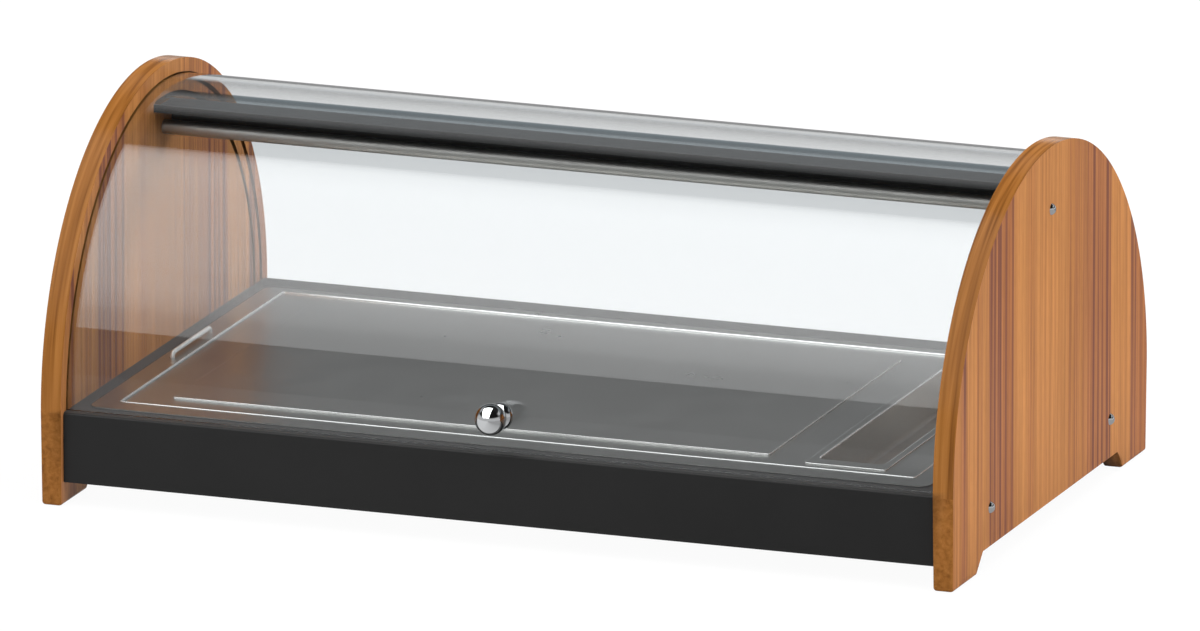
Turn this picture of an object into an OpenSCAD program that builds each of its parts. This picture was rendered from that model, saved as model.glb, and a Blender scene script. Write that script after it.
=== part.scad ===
// Refrigerated buffet display with a sliding arched cover, in millimetres.
// X runs along the width, +Y to the rear, +Z up. The origin is on the table under the middle of the object.

/* [Overall] */
// Width over the two side panels
overall_w = 808; // [660:1:1000]
// Depth of the side panels, twice the radius of their arch
panel_depth = 485; // [400:1:580]
// Height of the base top, where the centre of the arch lies
deck_h = 80; // [66:1:110]

/* [Side panels] */
// Thickness of a side panel
panel_t = 18; // [16:0.5:25]
// Rounding of the panel edges
panel_edge_r = 4; // [1:0.5:6]
// Depth of the cover grooves and rail sockets in a panel
groove_depth = 7; // [4:0.5:9]
// Height of a foot, which lifts the base off the table
foot_h = 20; // [12:1:24]
// Length of a foot on the table
foot_l = 60; // [40:1:90]
// Length that the slanted inner side adds to the top of a foot
foot_slant = 12.5; // [4:0.5:25]

/* [Covers] */
// Thickness of both acrylic covers
cover_t = 4; // [3:0.5:5]
// Wood left outside the groove of the front cover
rim_wood = 12; // [9:0.5:16]
// Play of the sliding front cover on each face
slide_play = 0.8; // [0.5:0.1:1.2]
// Play of the fixed rear cover on each face
rear_play = 0.5; // [0.4:0.1:1]
// Wood left between the two grooves
groove_land = 10.4; // [9:0.2:14]
// Angle that the front cover reaches past the top of the arch
front_cover_past = 18; // [12:1:22]
// Gap between a cover's end and the panel's groove
cover_end_play = 1; // [0.5:0.1:1.5]

/* [Knob] */
// Angle of the knob above the horizontal
knob_elevation = 7.6; // [6:0.2:25]
// Diameter of the knob's ball
knob_ball_d = 26.5; // [22:0.5:32]
// Height of the ball's centre over the cover
knob_ball_rise = 24.4; // [20:0.2:32]
// Diameter of the bell flange
knob_flange_d = 22.5; // [18:0.5:28]
// Height of the bell flange
knob_flange_h = 7; // [4:0.5:9]
// Diameter of the neck
knob_neck_d = 9; // [8:0.5:12]

/* [Base] */
// Setback of the base from the panels' front and rear edges
base_setback = 5; // [3:0.5:8]
// Thickness of the base's walls
base_wall = 3; // [2:0.5:4]
// Thickness of the base's top deck
deck_t = 3; // [2.5:0.5:4]
// Rounding of the base's long top edges
base_edge_r = 2; // [1:0.5:6]
// Thickness of the bottom cover
bottom_t = 1.5; // [1:0.1:2.5]
// Distance between the two base screws of a panel
base_screw_span = 300; // [220:1:340]

/* [Tray] */
// Thickness of the tray's sheet
tray_t = 1.2; // [0.8:0.1:1.6]
// Depth of the tray's recess
recess_depth = 1.5; // [1:0.1:2.5]
// Gap between the tray and each side panel
tray_side_gap = 13.5; // [10:0.5:20]
// Gap between the tray's front edge and the front cover
tray_front_gap = 11.2; // [8:0.2:16]
// Gap between the tray's rear edge and the rear cover
tray_rear_gap = 5.5; // [4:0.5:8]
// Width of the tray's rim at the sides
rim_side = 21; // [17:0.5:24]
// Width of the tray's rim at the front
rim_front = 24.5; // [20:0.5:28]
// Width of the tray's rim at the rear
rim_rear = 14.5; // [12:0.5:18]
// Corner radius of the tray
tray_corner_r = 10; // [4:1:16]

/* [Serving plate] */
// Thickness of the serving plate, whose gaps to its neighbours leave it a GN 1/1 size, 530 x 325
plate_t = 1.8; // [1:0.1:3]
// Gap between the plate and the left side of the recess
plate_margin = 35.5; // [20:0.5:60]
// Gap between the plate and the trough's flange
plate_trough_gap = 35; // [20:0.5:60]
// Gap between the plate and the front and rear sides of the recess
plate_end_gap = 27.5; // [10:0.5:60]

/* [Utensil trough] */
// Width of the trough's flange
trough_flange_w = 72; // [50:1:120]
// Gap between the trough's flange and the front and rear sides of the recess
trough_end_gap = 15.5; // [12:0.5:60]
// Width of the trough's flange strip at each side
trough_strip_side = 7.5; // [5:0.5:10]
// Width of the trough's flange strip at each end
trough_strip_end = 15.5; // [8:0.5:20]
// Thickness of the trough's sheet
trough_t = 1; // [0.8:0.1:1.5]
// Gap between the trough's flange and the right side of the recess
trough_margin = 30.5; // [24:0.5:60]

/* [Tray handles] */
// Length of a handle over its ends
handle_l = 92; // [70:1:140]
// Diameter of the handle's wire
handle_wire_d = 4; // [3:0.2:5]
// Height of the wire's axis over the tray
handle_rise = 4.4; // [4.2:0.1:8]
// Distance from the tray's edge to the wire's axis
handle_inset = 10.5; // [7:0.5:12]

/* [Cooling] */
// Height left free over the cold packs
pack_headroom = 8.5; // [4:0.5:10]
// Gap between the two cold packs
pack_gap = 4; // [2:0.5:10]
// Thickness of the inner liner
liner_t = 1; // [0.8:0.1:1.5]

/* [Top rail and tie bar] */
// Thickness of the rail's sheet
rail_t = 2; // [1.5:0.1:2.5]
// Distance from the arch centre to the front face of the rail's lip
rail_front = 23.4; // [18:0.2:30]
// Distance from the arch centre to the rear face of the rail
rail_rear = 20; // [16:0.5:26]
// Height of the rail's lip over its web
rail_lip_up = 3.3; // [2:0.1:4]
// Drop of the rail's lip below the top of its web
rail_lip_down = 3.1; // [2.6:0.1:5]
// Height of the rail's rear leg from the top of its web
rail_leg_h = 25.6; // [12:0.2:30]
// Diameter of the tie bar
tie_bar_d = 12; // [11:0.5:16]
// Wall of the tie bar's tube
tie_bar_wall = 1.5; // [1:0.1:2]
// Gap between the rail's web and the tie bar
tie_bar_gap = 12.1; // [6:0.1:20]

/* [Fasteners] */
// Diameter of the panel screws' shanks
screw_d = 6; // [5:0.5:6]
// Diameter of the panel screws' domed heads
screw_head_d = 10; // [9:0.5:13]
// Height of the panel screws' domed heads
screw_head_h = 3.6; // [2.5:0.1:4.5]

/* [Hidden] */

wood_colour = "#C08A56";
black_colour = "#2A2A2A";
steel_colour = "#A8AAAC";
chrome_colour = "#E2E4E6";
clear_colour = [0.85, 0.92, 0.95, 0.35];
foam_colour = "#E9E4D4";
liner_colour = "#C9CDD0";
pack_colour = "#2F6FA8";
cap_colour = "#E8ECEF";

// Cuts run past the faces that they open by this much
overrun = 1;
// Flat parts of one assembly that seat on a curved or slanted face keep this gap
seat_gap = 0.3;
// Plain clearance around a loose fit, on each side
loose_fit = 0.5;
// Clearance around a screw's thread, on the radius
thread_play = 0.1;
// Clearance around a screw's shank in a plain hole, on the radius
hole_play = 0.2;
right_angle = 90;
round_fn = 64;
arch_fn = 180;

arch_r = panel_depth / 2;
inner_w = overall_w - 2 * panel_t;
grooved_w = inner_w + 2 * groove_depth;
cover_w = grooved_w - 2 * cover_end_play;

front_groove_out = arch_r - rim_wood;
front_groove_in = front_groove_out - cover_t - 2 * slide_play;
front_cover_out = front_groove_out - slide_play;
front_cover_in = front_cover_out - cover_t;
rear_groove_out = front_groove_in - groove_land;
rear_groove_in = rear_groove_out - cover_t - 2 * rear_play;
rear_cover_out = rear_groove_out - rear_play;
rear_cover_in = rear_cover_out - cover_t;

// Angles run from the top of the arch, and are positive to the rear
front_cover_foot = -right_angle + asin(seat_gap / front_cover_in);
rear_cover_foot = right_angle - asin(seat_gap / rear_cover_in);
lip_back = rail_front - rail_t;
rear_cover_nose = -asin((lip_back - seat_gap) / rear_cover_out);

// The web of the rail carries the nose of the rear cover
web_reach = max(lip_back, rail_rear);
web_top = sqrt(rear_cover_in * rear_cover_in - web_reach * web_reach) - seat_gap;
web_bottom = web_top - rail_t;
tie_bar_z = web_bottom - tie_bar_gap - tie_bar_d / 2;
rail_l = grooved_w - 2 * cover_end_play;

// The knob stands out past the panels, so the middle of the whole object lies in front of the arch centre
knob_front = (front_cover_out + knob_ball_rise) * cos(knob_elevation) + knob_ball_d / 2;
front_reach = max(arch_r, knob_front);
arch_y = (front_reach - arch_r) / 2;

base_half_d = arch_r - base_setback;
deck_bottom = deck_h - deck_t;
wall_inner_d = base_half_d - base_wall;
wall_inner_w = inner_w - 2 * base_wall;

tray_top = deck_h + tray_t;
tray_front = -(front_cover_in - tray_front_gap);
tray_rear = rear_cover_in - tray_rear_gap;
tray_w = inner_w - 2 * tray_side_gap;
tray_d = tray_rear - tray_front;
tray_y = (tray_rear + tray_front) / 2;
recess_w = tray_w - 2 * rim_side;
recess_d = tray_d - rim_front - rim_rear;
recess_y = (tray_rear - rim_rear + tray_front + rim_front) / 2;
recess_top = tray_top - recess_depth;
recess_bottom = recess_top - tray_t;
recess_corner_r = 1.6;
pan_w = recess_w + 2 * tray_t;
pan_d = recess_d + 2 * tray_t;

plate_l = recess_w - plate_margin - plate_trough_gap - trough_flange_w - trough_margin;
plate_w = recess_d - 2 * plate_end_gap;
plate_x = -recess_w / 2 + plate_margin + plate_l / 2;
plate_corner_r = 1.6;

// The foam's floor takes this share of the height between the bottom cover and the tray's recess
foam_floor_share = 0.3;
foam_bottom = foot_h + bottom_t;
liner_bottom = foam_bottom + foam_floor_share * (recess_top - foam_bottom);
liner_floor = liner_bottom + liner_t;

trough_x = recess_w / 2 - trough_margin - trough_flange_w / 2;
trough_lift_gap = 4;
trough_top = recess_top + trough_t;
trough_bottom = liner_floor + trough_lift_gap;
trough_floor = trough_bottom + trough_t;
trough_depth = trough_top - trough_floor;
trough_flange_l = recess_d - 2 * trough_end_gap;
trough_open_w = trough_flange_w - 2 * trough_strip_side;
trough_open_l = trough_flange_l - 2 * trough_strip_end;
trough_body_w = trough_open_w + 2 * trough_t;
trough_body_l = trough_open_l + 2 * trough_t;
trough_corner_r = 6;
trough_flange_corner_r = 2;

liner_play = 1.5;
liner_open_w = pan_w + 2 * liner_play;
liner_open_d = pan_d + 2 * liner_play;
liner_w = liner_open_w + 2 * liner_t;
liner_d = liner_open_d + 2 * liner_t;
liner_flange = 8;
liner_flange_w = liner_w + 2 * liner_flange;
liner_flange_d = liner_d + 2 * liner_flange;
liner_corner_r = recess_corner_r + tray_t + liner_play + liner_t;

nut_af = 10;
nut_h = 5;
nut_runout = 2;
nut_sides = 6;
base_screw_l = panel_t + base_wall + nut_h + nut_runout;
base_screw_z = (foot_h + deck_h) / 2;
boss_d = 10;
boss_inset = 7;
foam_side_gap = 14;
foam_w = wall_inner_w - 2 * foam_side_gap;
foam_d = 2 * wall_inner_d - 2 * loose_fit;
foam_corner_r = 6;

bottom_screw_d = 3.5;
bottom_screw_l = 14;
bottom_head_d = 7;
bottom_head_h = 2;

pack_l = (plate_l - pack_gap) / 2;
pack_top = recess_bottom - pack_headroom;
pack_h = pack_top - liner_floor;
pack_corner_r = 18;
pack_rim = 14;
pack_dish = 1;
cap_d = 30;
cap_h = 3;
cap_spigot_d = 20;
cap_spigot_h = 6;
cap_inset = 34;

handle_bend_r = 4;

insert_l = 24;
tie_screw_l = panel_t + insert_l - nut_runout;
tie_bore_d = tie_bar_d - 2 * tie_bar_wall;

knob_screw_d = 4;
knob_hole_d = knob_screw_d + 1;
knob_bore_depth = 14;
knob_head_d = 8;
knob_head_h = 2.4;
knob_washer_d = 14;
knob_washer_t = 1;
bell_rim_share = 0.3;
bell_wall = 1.2;
bell_step = 15;
curve_gap = seat_gap / 3;
washer_top = sqrt(front_cover_in * front_cover_in - knob_washer_d * knob_washer_d / 4) - curve_gap;
knob_seat = front_cover_out + curve_gap;

// Shapes drawn inside follow the arch axis: X along the width, Y to the rear, Z up from the arch centre
module at_arch_axis() {
    translate([0, arch_y, deck_h]) children();
}

// Shapes drawn inside stand on the table below the arch centre
module at_table() {
    translate([0, arch_y, 0]) children();
}

// Z of the shapes inside points along the knob, from the arch axis
module at_knob() {
    at_arch_axis() rotate([right_angle - knob_elevation, 0, 0]) children();
}

// Turns an outline drawn in depth and height, and its extrusion, to stand along X
module along_x() {
    rotate([right_angle, 0, right_angle]) children();
}

// Ring about the arch axis, between two radii and two angles from the top
module arch_sector(r_in, r_out, w, from, to) {
    along_x() rotate([0, 0, right_angle - to])
        rotate_extrude(angle = to - from, $fn = arch_fn)
            translate([r_in, -w / 2]) square([r_out - r_in, w]);
}

// Flat slab with round corners, on the plane below it
module slab(w, d, h, r) {
    linear_extrude(height = h) {
        square([w - 2 * r, d], center = true);
        square([w, d - 2 * r], center = true);
        for (x = [-1, 1], y = [-1, 1])
            translate([x * (w / 2 - r), y * (d / 2 - r)]) circle(r = r, $fn = round_fn);
    }
}

// Screw along Z: its domed head stands on the plane, and its shank goes down
module dome_screw(head_d, head_h, shank_d, shank_l) {
    dome_r = (head_d * head_d / 4 + head_h * head_h) / (2 * head_h);
    intersection() {
        translate([0, 0, head_h - dome_r]) sphere(r = dome_r, $fn = round_fn);
        cylinder(d = head_d + overrun, h = head_h + overrun, $fn = round_fn);
    }
    translate([0, 0, -shank_l]) cylinder(d = shank_d, h = shank_l + head_h / 2, $fn = round_fn);
}

// Section of a panel in radius and thickness, round at its outer edges
module panel_section() {
    e = panel_edge_r;
    square([arch_r - e, panel_t]);
    translate([0, e]) square([arch_r, panel_t - 2 * e]);
    for (t = [e, panel_t - e]) translate([arch_r - e, t]) circle(r = e, $fn = round_fn);
}

// Left panel before it is cut: a half disc on a straight part
module panel_blank() {
    translate([-overall_w / 2, 0, deck_h]) along_x()
        rotate_extrude(angle = 2 * right_angle, $fn = arch_fn) panel_section();
    for (side = [0, 1])
        translate([-overall_w / 2, 0, 0]) mirror([0, side, 0]) mirror([1, -1, 0])
            linear_extrude(height = deck_h) panel_section();
}

// Prism along X that opens the panels between their feet
module foot_notch() {
    foot_inner = arch_r - foot_l;
    notch_inner = foot_inner - foot_slant;
    along_x() linear_extrude(height = overall_w + 2 * overrun, center = true)
        polygon([
            [-foot_inner, -overrun], [-foot_inner, 0], [-notch_inner, foot_h],
            [notch_inner, foot_h], [foot_inner, 0], [foot_inner, -overrun]
        ]);
}

// Outline of the top rail in depth and height from the arch centre, grown by a clearance
module rail_outline(play) {
    translate([-rail_front - play, web_top - rail_lip_down - play])
        square([rail_t + 2 * play, rail_lip_down + rail_lip_up + 2 * play]);
    translate([-rail_front - play, web_bottom - play])
        square([rail_front + rail_rear + 2 * play, rail_t + 2 * play]);
    translate([rail_rear - rail_t - play, web_top - rail_leg_h - play])
        square([rail_t + 2 * play, rail_leg_h + 2 * play]);
}

module rail_bar(l, play) {
    along_x() linear_extrude(height = l, center = true) rail_outline(play);
}

// Round hole or shank along X
module x_cylinder(d, l) {
    rotate([0, right_angle, 0]) cylinder(d = d, h = l, center = true, $fn = round_fn);
}

// Places a child at each base screw's axis, level with the middle of the base
module at_base_screws() {
    for (end = [-1, 1]) translate([0, end * base_screw_span / 2, base_screw_z]) children();
}

module left_panel() {
    color(wood_colour) at_table() difference() {
        panel_blank();
        translate([0, 0, deck_h]) {
            arch_sector(front_groove_in, front_groove_out, grooved_w, -right_angle, right_angle);
            arch_sector(rear_groove_in, rear_groove_out, grooved_w, rear_cover_nose, right_angle);
            rail_bar(grooved_w, seat_gap);
            translate([0, 0, tie_bar_z]) x_cylinder(screw_d + 2 * hole_play, overall_w + 2 * overrun);
        }
        foot_notch();
        at_base_screws() x_cylinder(screw_d + 2 * hole_play, overall_w + 2 * overrun);
    }
}

module right_panel() {
    mirror([1, 0, 0]) left_panel();
}

// Section of the base in depth and height, round at its long top edges
module base_section() {
    r = base_edge_r;
    translate([-base_half_d, foot_h]) square([2 * base_half_d, deck_h - r - foot_h]);
    translate([-base_half_d + r, foot_h]) square([2 * (base_half_d - r), deck_h - foot_h]);
    for (side = [-1, 1])
        translate([side * (base_half_d - r), deck_h - r]) circle(r = r, $fn = round_fn);
}

// Places a child at each boss of the base, three along each side
module at_bosses() {
    for (x = [-1, 1], y = [-1, 0, 1])
        translate([x * (wall_inner_w / 2 - boss_inset), y * (wall_inner_d - boss_inset), 0]) children();
}

module base_casing() {
    color(black_colour) at_table() difference() {
        union() {
            difference() {
                along_x() linear_extrude(height = inner_w, center = true) base_section();
                translate([-wall_inner_w / 2, -wall_inner_d, foot_h - overrun])
                    cube([wall_inner_w, 2 * wall_inner_d, deck_bottom - foot_h + overrun]);
            }
            at_bosses() translate([0, 0, foam_bottom])
                cylinder(d = boss_d, h = deck_h - deck_t / 2 - foam_bottom, $fn = round_fn);
        }
        translate([0, recess_y, foot_h])
            slab(liner_w + 2 * loose_fit, liner_d + 2 * loose_fit, deck_h, liner_corner_r);
        translate([0, recess_y, deck_h - liner_t])
            slab(liner_flange_w + 2 * loose_fit, liner_flange_d + 2 * loose_fit, deck_h, liner_corner_r);
        at_bosses() translate([0, 0, foam_bottom - overrun])
            cylinder(d = bottom_screw_d + 2 * thread_play, h = bottom_screw_l + overrun, $fn = round_fn);
        at_base_screws() x_cylinder(screw_d + 2 * hole_play, overall_w);
    }
}

module bottom_cover() {
    color(steel_colour) at_table() difference() {
        translate([-wall_inner_w / 2 + loose_fit, -wall_inner_d + loose_fit, foot_h])
            cube([wall_inner_w - 2 * loose_fit, 2 * (wall_inner_d - loose_fit), bottom_t]);
        at_bosses() translate([0, 0, foot_h - overrun])
            cylinder(d = bottom_screw_d + 2 * hole_play, h = bottom_t + 2 * overrun, $fn = round_fn);
    }
}

module bottom_cover_screws() {
    color(steel_colour) at_table() at_bosses() translate([0, 0, foot_h])
        mirror([0, 0, 1]) dome_screw(bottom_head_d, bottom_head_h, bottom_screw_d, bottom_screw_l);
}

module insulation_tub() {
    color(foam_colour) at_table() difference() {
        translate([0, 0, foam_bottom])
            slab(foam_w, foam_d, deck_bottom - foam_bottom, foam_corner_r);
        translate([0, recess_y, liner_bottom])
            slab(liner_w + 2 * loose_fit, liner_d + 2 * loose_fit, deck_h, liner_corner_r);
    }
}

module inner_liner() {
    color(liner_colour) at_table() translate([0, recess_y, 0]) difference() {
        union() {
            translate([0, 0, deck_h - liner_t])
                slab(liner_flange_w, liner_flange_d, liner_t, liner_corner_r);
            translate([0, 0, liner_bottom])
                slab(liner_w, liner_d, deck_h - liner_bottom, liner_corner_r);
        }
        translate([0, 0, liner_floor])
            slab(liner_open_w, liner_open_d, deck_h, liner_corner_r - liner_t);
    }
}

// Middle of a cold pack: side is -1 for the left one and 1 for the right one
module at_pack(side) {
    at_table() translate([plate_x + side * (pack_l + pack_gap) / 2, recess_y, 0]) children();
}

// Middle of a pack's filler, at the corner that is front and away from the other pack
module at_filler(side) {
    translate([side * (pack_l / 2 - cap_inset), -plate_w / 2 + cap_inset, pack_top]) children();
}

module cold_pack(side) {
    color(pack_colour) at_pack(side) difference() {
        translate([0, 0, liner_floor]) slab(pack_l, plate_w, pack_h, pack_corner_r);
        difference() {
            translate([0, 0, pack_top - pack_dish])
                slab(pack_l - 2 * pack_rim, plate_w - 2 * pack_rim, pack_h, pack_corner_r - pack_rim / 2);
            at_filler(side) translate([0, 0, -pack_h])
                cylinder(d = cap_d + pack_rim, h = 2 * pack_h, $fn = round_fn);
        }
        at_filler(side) translate([0, 0, -cap_spigot_h - seat_gap])
            cylinder(d = cap_spigot_d + 2 * thread_play, h = cap_spigot_h + cap_h, $fn = round_fn);
    }
}

module cold_pack_left() {
    cold_pack(-1);
}

module cold_pack_right() {
    cold_pack(1);
}

module cold_pack_caps() {
    color(cap_colour) for (side = [-1, 1]) at_pack(side) at_filler(side) {
        cylinder(d = cap_d, h = cap_h, $fn = round_fn);
        translate([0, 0, -cap_spigot_h]) cylinder(d = cap_spigot_d, h = cap_spigot_h + cap_h / 2, $fn = round_fn);
    }
}

module tray() {
    color(steel_colour) at_table() difference() {
        union() {
            translate([0, tray_y, deck_h]) slab(tray_w, tray_d, tray_t, tray_corner_r);
            translate([0, recess_y, recess_bottom])
                slab(pan_w, pan_d, tray_top - recess_bottom, recess_corner_r + tray_t);
        }
        translate([0, recess_y, recess_top]) slab(recess_w, recess_d, deck_h, recess_corner_r);
        translate([trough_x, recess_y, deck_h / 2])
            slab(trough_body_w + 2 * loose_fit, trough_body_l + 2 * loose_fit, deck_h, trough_corner_r + trough_t);
    }
}

// Wire staple along Y, with its two ends on the tray
module tray_handle(side) {
    straight = handle_l - handle_wire_d - 2 * handle_bend_r;
    color(chrome_colour) at_table() translate([side * (tray_w / 2 - handle_inset), recess_y, tray_top]) {
        translate([0, 0, handle_rise]) rotate([right_angle, 0, 0])
            cylinder(d = handle_wire_d, h = straight, center = true, $fn = round_fn);
        for (end = [0, 1]) mirror([0, end, 0]) translate([0, straight / 2, handle_rise - handle_bend_r])
            along_x() rotate_extrude(angle = right_angle, $fn = round_fn)
                translate([handle_bend_r, 0]) circle(d = handle_wire_d, $fn = round_fn);
        for (end = [-1, 1]) translate([0, end * (straight / 2 + handle_bend_r), 0])
            cylinder(d = handle_wire_d, h = handle_rise - handle_bend_r, $fn = round_fn);
    }
}

module tray_handle_left() {
    tray_handle(-1);
}

module tray_handle_right() {
    tray_handle(1);
}

module serving_plate() {
    color(steel_colour) at_table() translate([plate_x, recess_y, recess_top])
        slab(plate_l, plate_w, plate_t, plate_corner_r);
}

module utensil_trough() {
    color(steel_colour) at_table() translate([trough_x, recess_y, 0]) difference() {
        union() {
            translate([0, 0, recess_top])
                slab(trough_flange_w, trough_flange_l, trough_t, trough_flange_corner_r);
            translate([0, 0, trough_bottom])
                slab(trough_body_w, trough_body_l, trough_top - trough_bottom, trough_corner_r + trough_t);
        }
        translate([0, 0, trough_floor]) slab(trough_open_w, trough_open_l, trough_depth + overrun, trough_corner_r);
    }
}

module front_cover() {
    color(clear_colour) difference() {
        at_arch_axis() arch_sector(front_cover_in, front_cover_out, cover_w, front_cover_foot, front_cover_past);
        at_knob() translate([0, 0, front_cover_in - overrun])
            cylinder(d = knob_hole_d, h = cover_t + 2 * overrun, $fn = round_fn);
    }
}

module rear_cover() {
    color(clear_colour) at_arch_axis()
        arch_sector(rear_cover_in, rear_cover_out, cover_w, rear_cover_nose, rear_cover_foot);
}

module knob() {
    color(chrome_colour) at_knob() difference() {
        union() {
            translate([0, 0, front_cover_out + knob_ball_rise]) sphere(d = knob_ball_d, $fn = round_fn);
            translate([0, 0, knob_seat])
                cylinder(d = knob_neck_d, h = knob_ball_rise, $fn = round_fn);
        }
        translate([0, 0, front_cover_out])
            cylinder(d = knob_screw_d + 2 * thread_play, h = knob_bore_depth, $fn = round_fn);
    }
}

// Bell that stands around the neck, wide on the cover and narrow at the ball
module knob_flange() {
    bore_r = knob_neck_d / 2 + hole_play;
    top_r = bore_r + bell_wall;
    swell = knob_flange_d / 2 - top_r;
    rim_h = knob_flange_h * bell_rim_share;
    dome = [
        for (a = [0:bell_step:right_angle])
            [top_r + swell * cos(a), rim_h + (knob_flange_h - rim_h) * sin(a)]
    ];
    color(chrome_colour) at_knob() translate([0, 0, knob_seat]) rotate_extrude($fn = round_fn)
        polygon(concat([[bore_r, 0], [knob_flange_d / 2, 0]], dome, [[bore_r, knob_flange_h]]));
}

module knob_washer() {
    color(steel_colour) at_knob() translate([0, 0, washer_top - knob_washer_t]) difference() {
        cylinder(d = knob_washer_d, h = knob_washer_t, $fn = round_fn);
        translate([0, 0, -overrun])
            cylinder(d = knob_screw_d + 2 * hole_play, h = knob_washer_t + 2 * overrun, $fn = round_fn);
    }
}

module knob_screw() {
    reach = cover_t + knob_bore_depth - nut_runout;
    color(steel_colour) at_knob() translate([0, 0, washer_top - knob_washer_t]) mirror([0, 0, 1])
        dome_screw(knob_head_d, knob_head_h, knob_screw_d, reach);
}

module top_rail() {
    color(black_colour) at_arch_axis() rail_bar(rail_l, 0);
}

module tie_bar() {
    color(steel_colour) at_arch_axis() translate([0, 0, tie_bar_z]) difference() {
        x_cylinder(tie_bar_d, inner_w);
        x_cylinder(tie_bore_d, inner_w + 2 * overrun);
    }
}

module tie_bar_inserts() {
    color(steel_colour) at_arch_axis() translate([0, 0, tie_bar_z]) for (side = [-1, 1])
        translate([side * (inner_w - insert_l) / 2, 0, 0]) difference() {
            x_cylinder(tie_bore_d - 2 * thread_play, insert_l);
            x_cylinder(screw_d + 2 * thread_play, insert_l + 2 * overrun);
        }
}

// Panel screw whose head stands on the outer face of a panel: side is -1 left, 1 right
module panel_screw(side, shank_l) {
    translate([side * overall_w / 2, 0, 0]) rotate([0, side * right_angle, 0])
        dome_screw(screw_head_d, screw_head_h, screw_d, shank_l);
}

module tie_bar_screws() {
    color(chrome_colour) at_arch_axis() translate([0, 0, tie_bar_z])
        for (side = [-1, 1]) panel_screw(side, tie_screw_l);
}

module base_screws_left() {
    color(chrome_colour) at_table() at_base_screws() panel_screw(-1, base_screw_l);
}

module base_screws_right() {
    color(chrome_colour) at_table() at_base_screws() panel_screw(1, base_screw_l);
}

module base_nuts() {
    color(steel_colour) at_table() at_base_screws() for (side = [-1, 1])
        translate([side * (wall_inner_w - nut_h) / 2, 0, 0]) difference() {
            rotate([0, right_angle, 0])
                cylinder(d = nut_af / cos(right_angle * 2 / nut_sides), h = nut_h, center = true, $fn = nut_sides);
            x_cylinder(screw_d + 2 * thread_play, nut_h + 2 * overrun);
        }
}

left_panel();
right_panel();
base_casing();
bottom_cover();
bottom_cover_screws();
insulation_tub();
inner_liner();
cold_pack_left();
cold_pack_right();
cold_pack_caps();
tray();
tray_handle_left();
tray_handle_right();
serving_plate();
utensil_trough();
front_cover();
rear_cover();
knob();
knob_flange();
knob_washer();
knob_screw();
top_rail();
tie_bar();
tie_bar_inserts();
tie_bar_screws();
base_screws_left();
base_screws_right();
base_nuts();
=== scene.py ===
"""Looks of a refrigerated buffet display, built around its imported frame, in metres."""

import logging
import math
from collections.abc import Callable, Iterable, Sequence
from dataclasses import dataclass
from enum import Enum, IntEnum

import bmesh
import bpy
from mathutils import Matrix, Vector


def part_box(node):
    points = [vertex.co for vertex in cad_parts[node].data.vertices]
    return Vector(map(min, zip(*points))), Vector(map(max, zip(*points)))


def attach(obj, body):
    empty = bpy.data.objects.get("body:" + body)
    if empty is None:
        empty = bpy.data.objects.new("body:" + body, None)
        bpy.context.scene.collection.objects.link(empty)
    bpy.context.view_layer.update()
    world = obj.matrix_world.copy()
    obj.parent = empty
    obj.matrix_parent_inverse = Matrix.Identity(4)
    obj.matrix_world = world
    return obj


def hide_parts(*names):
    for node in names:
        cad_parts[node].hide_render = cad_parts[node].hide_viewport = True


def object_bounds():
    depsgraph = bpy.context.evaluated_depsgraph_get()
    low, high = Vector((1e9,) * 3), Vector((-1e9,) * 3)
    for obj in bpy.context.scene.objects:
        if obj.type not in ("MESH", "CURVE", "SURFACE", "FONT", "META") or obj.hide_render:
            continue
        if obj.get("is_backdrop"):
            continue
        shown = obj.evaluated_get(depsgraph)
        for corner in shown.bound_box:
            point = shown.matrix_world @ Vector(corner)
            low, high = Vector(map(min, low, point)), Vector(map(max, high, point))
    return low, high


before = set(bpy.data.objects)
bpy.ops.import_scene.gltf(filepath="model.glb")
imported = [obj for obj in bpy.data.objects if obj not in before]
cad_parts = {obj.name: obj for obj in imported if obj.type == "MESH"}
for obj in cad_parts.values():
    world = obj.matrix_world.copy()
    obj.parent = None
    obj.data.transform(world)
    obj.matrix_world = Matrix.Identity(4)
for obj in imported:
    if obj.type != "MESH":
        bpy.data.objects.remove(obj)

MM = 0.001
ROUND = 2 * math.pi
RIGHT_ANGLE = math.pi / 2
CUT_OVERRUN = 1 * MM
# Lengths below this count as none
NO_LENGTH = 0.0001 * MM
LEAST_CORNER = 0.2 * MM
# Faces that meet at more than this count as square to each other
SQUARE_TURN = math.radians(60)
# A face is level from this share of its normal upright, and looks sideways from this share along X
LEVEL_SHARE = 0.998
SIDEWAYS_SHARE = 0.8

log = logging.getLogger("buffet_display")

Point = tuple[float, float, float]
FlatPoint = tuple[float, float]
Colour = tuple[float, float, float, float]


class Side(Enum):
    """The two ends of the display."""

    LEFT = -1
    RIGHT = 1


class Body(Enum):
    """The bodies of the frame that pieces ride on."""

    HOUSING = "housing"
    COVER = "sliding_cover"
    TRAY = "lift_out_tray"
    PLATE = "lift_out_plate"
    TROUGH = "lift_out_trough"


class PanelFace(IntEnum):
    """The panels' finishes, in the order that their faces number them."""

    VENEER = 0
    LIPPING = 1
    FOOT = 2
    # Faces inside the cuts: rough bare wood, darkened as painted shade
    ROUTED_SHADED = 3


class TrayFace(IntEnum):
    """The finishes of the tray and the plate, in the order that their faces number them."""

    SATIN = 0
    # Bent edges in paler buffed steel, partly a painted highlight
    BUFFED = 1
    SHEARED = 2


class TroughFace(IntEnum):
    """The trough's finishes, in the order that its faces number them."""

    SATIN = 0
    # Bent edges in paler buffed steel, partly a painted highlight
    BUFFED = 1
    BRUSHED = 2


# Node and mesh helpers


def srgb(code: str) -> Colour:
    """Turns an sRGB hex colour to linear light.

    Args:
        code: six hex digits after a hash sign.

    Returns:
        Linear red, green, blue and an alpha of 1.
    """
    shares = [int(code[i : i + 2], 16) / 255 for i in (1, 3, 5)]
    linear = [s / 12.92 if s <= 0.04045 else ((s + 0.055) / 1.055) ** 2.4 for s in shares]
    return (linear[0], linear[1], linear[2], 1.0)


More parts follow.
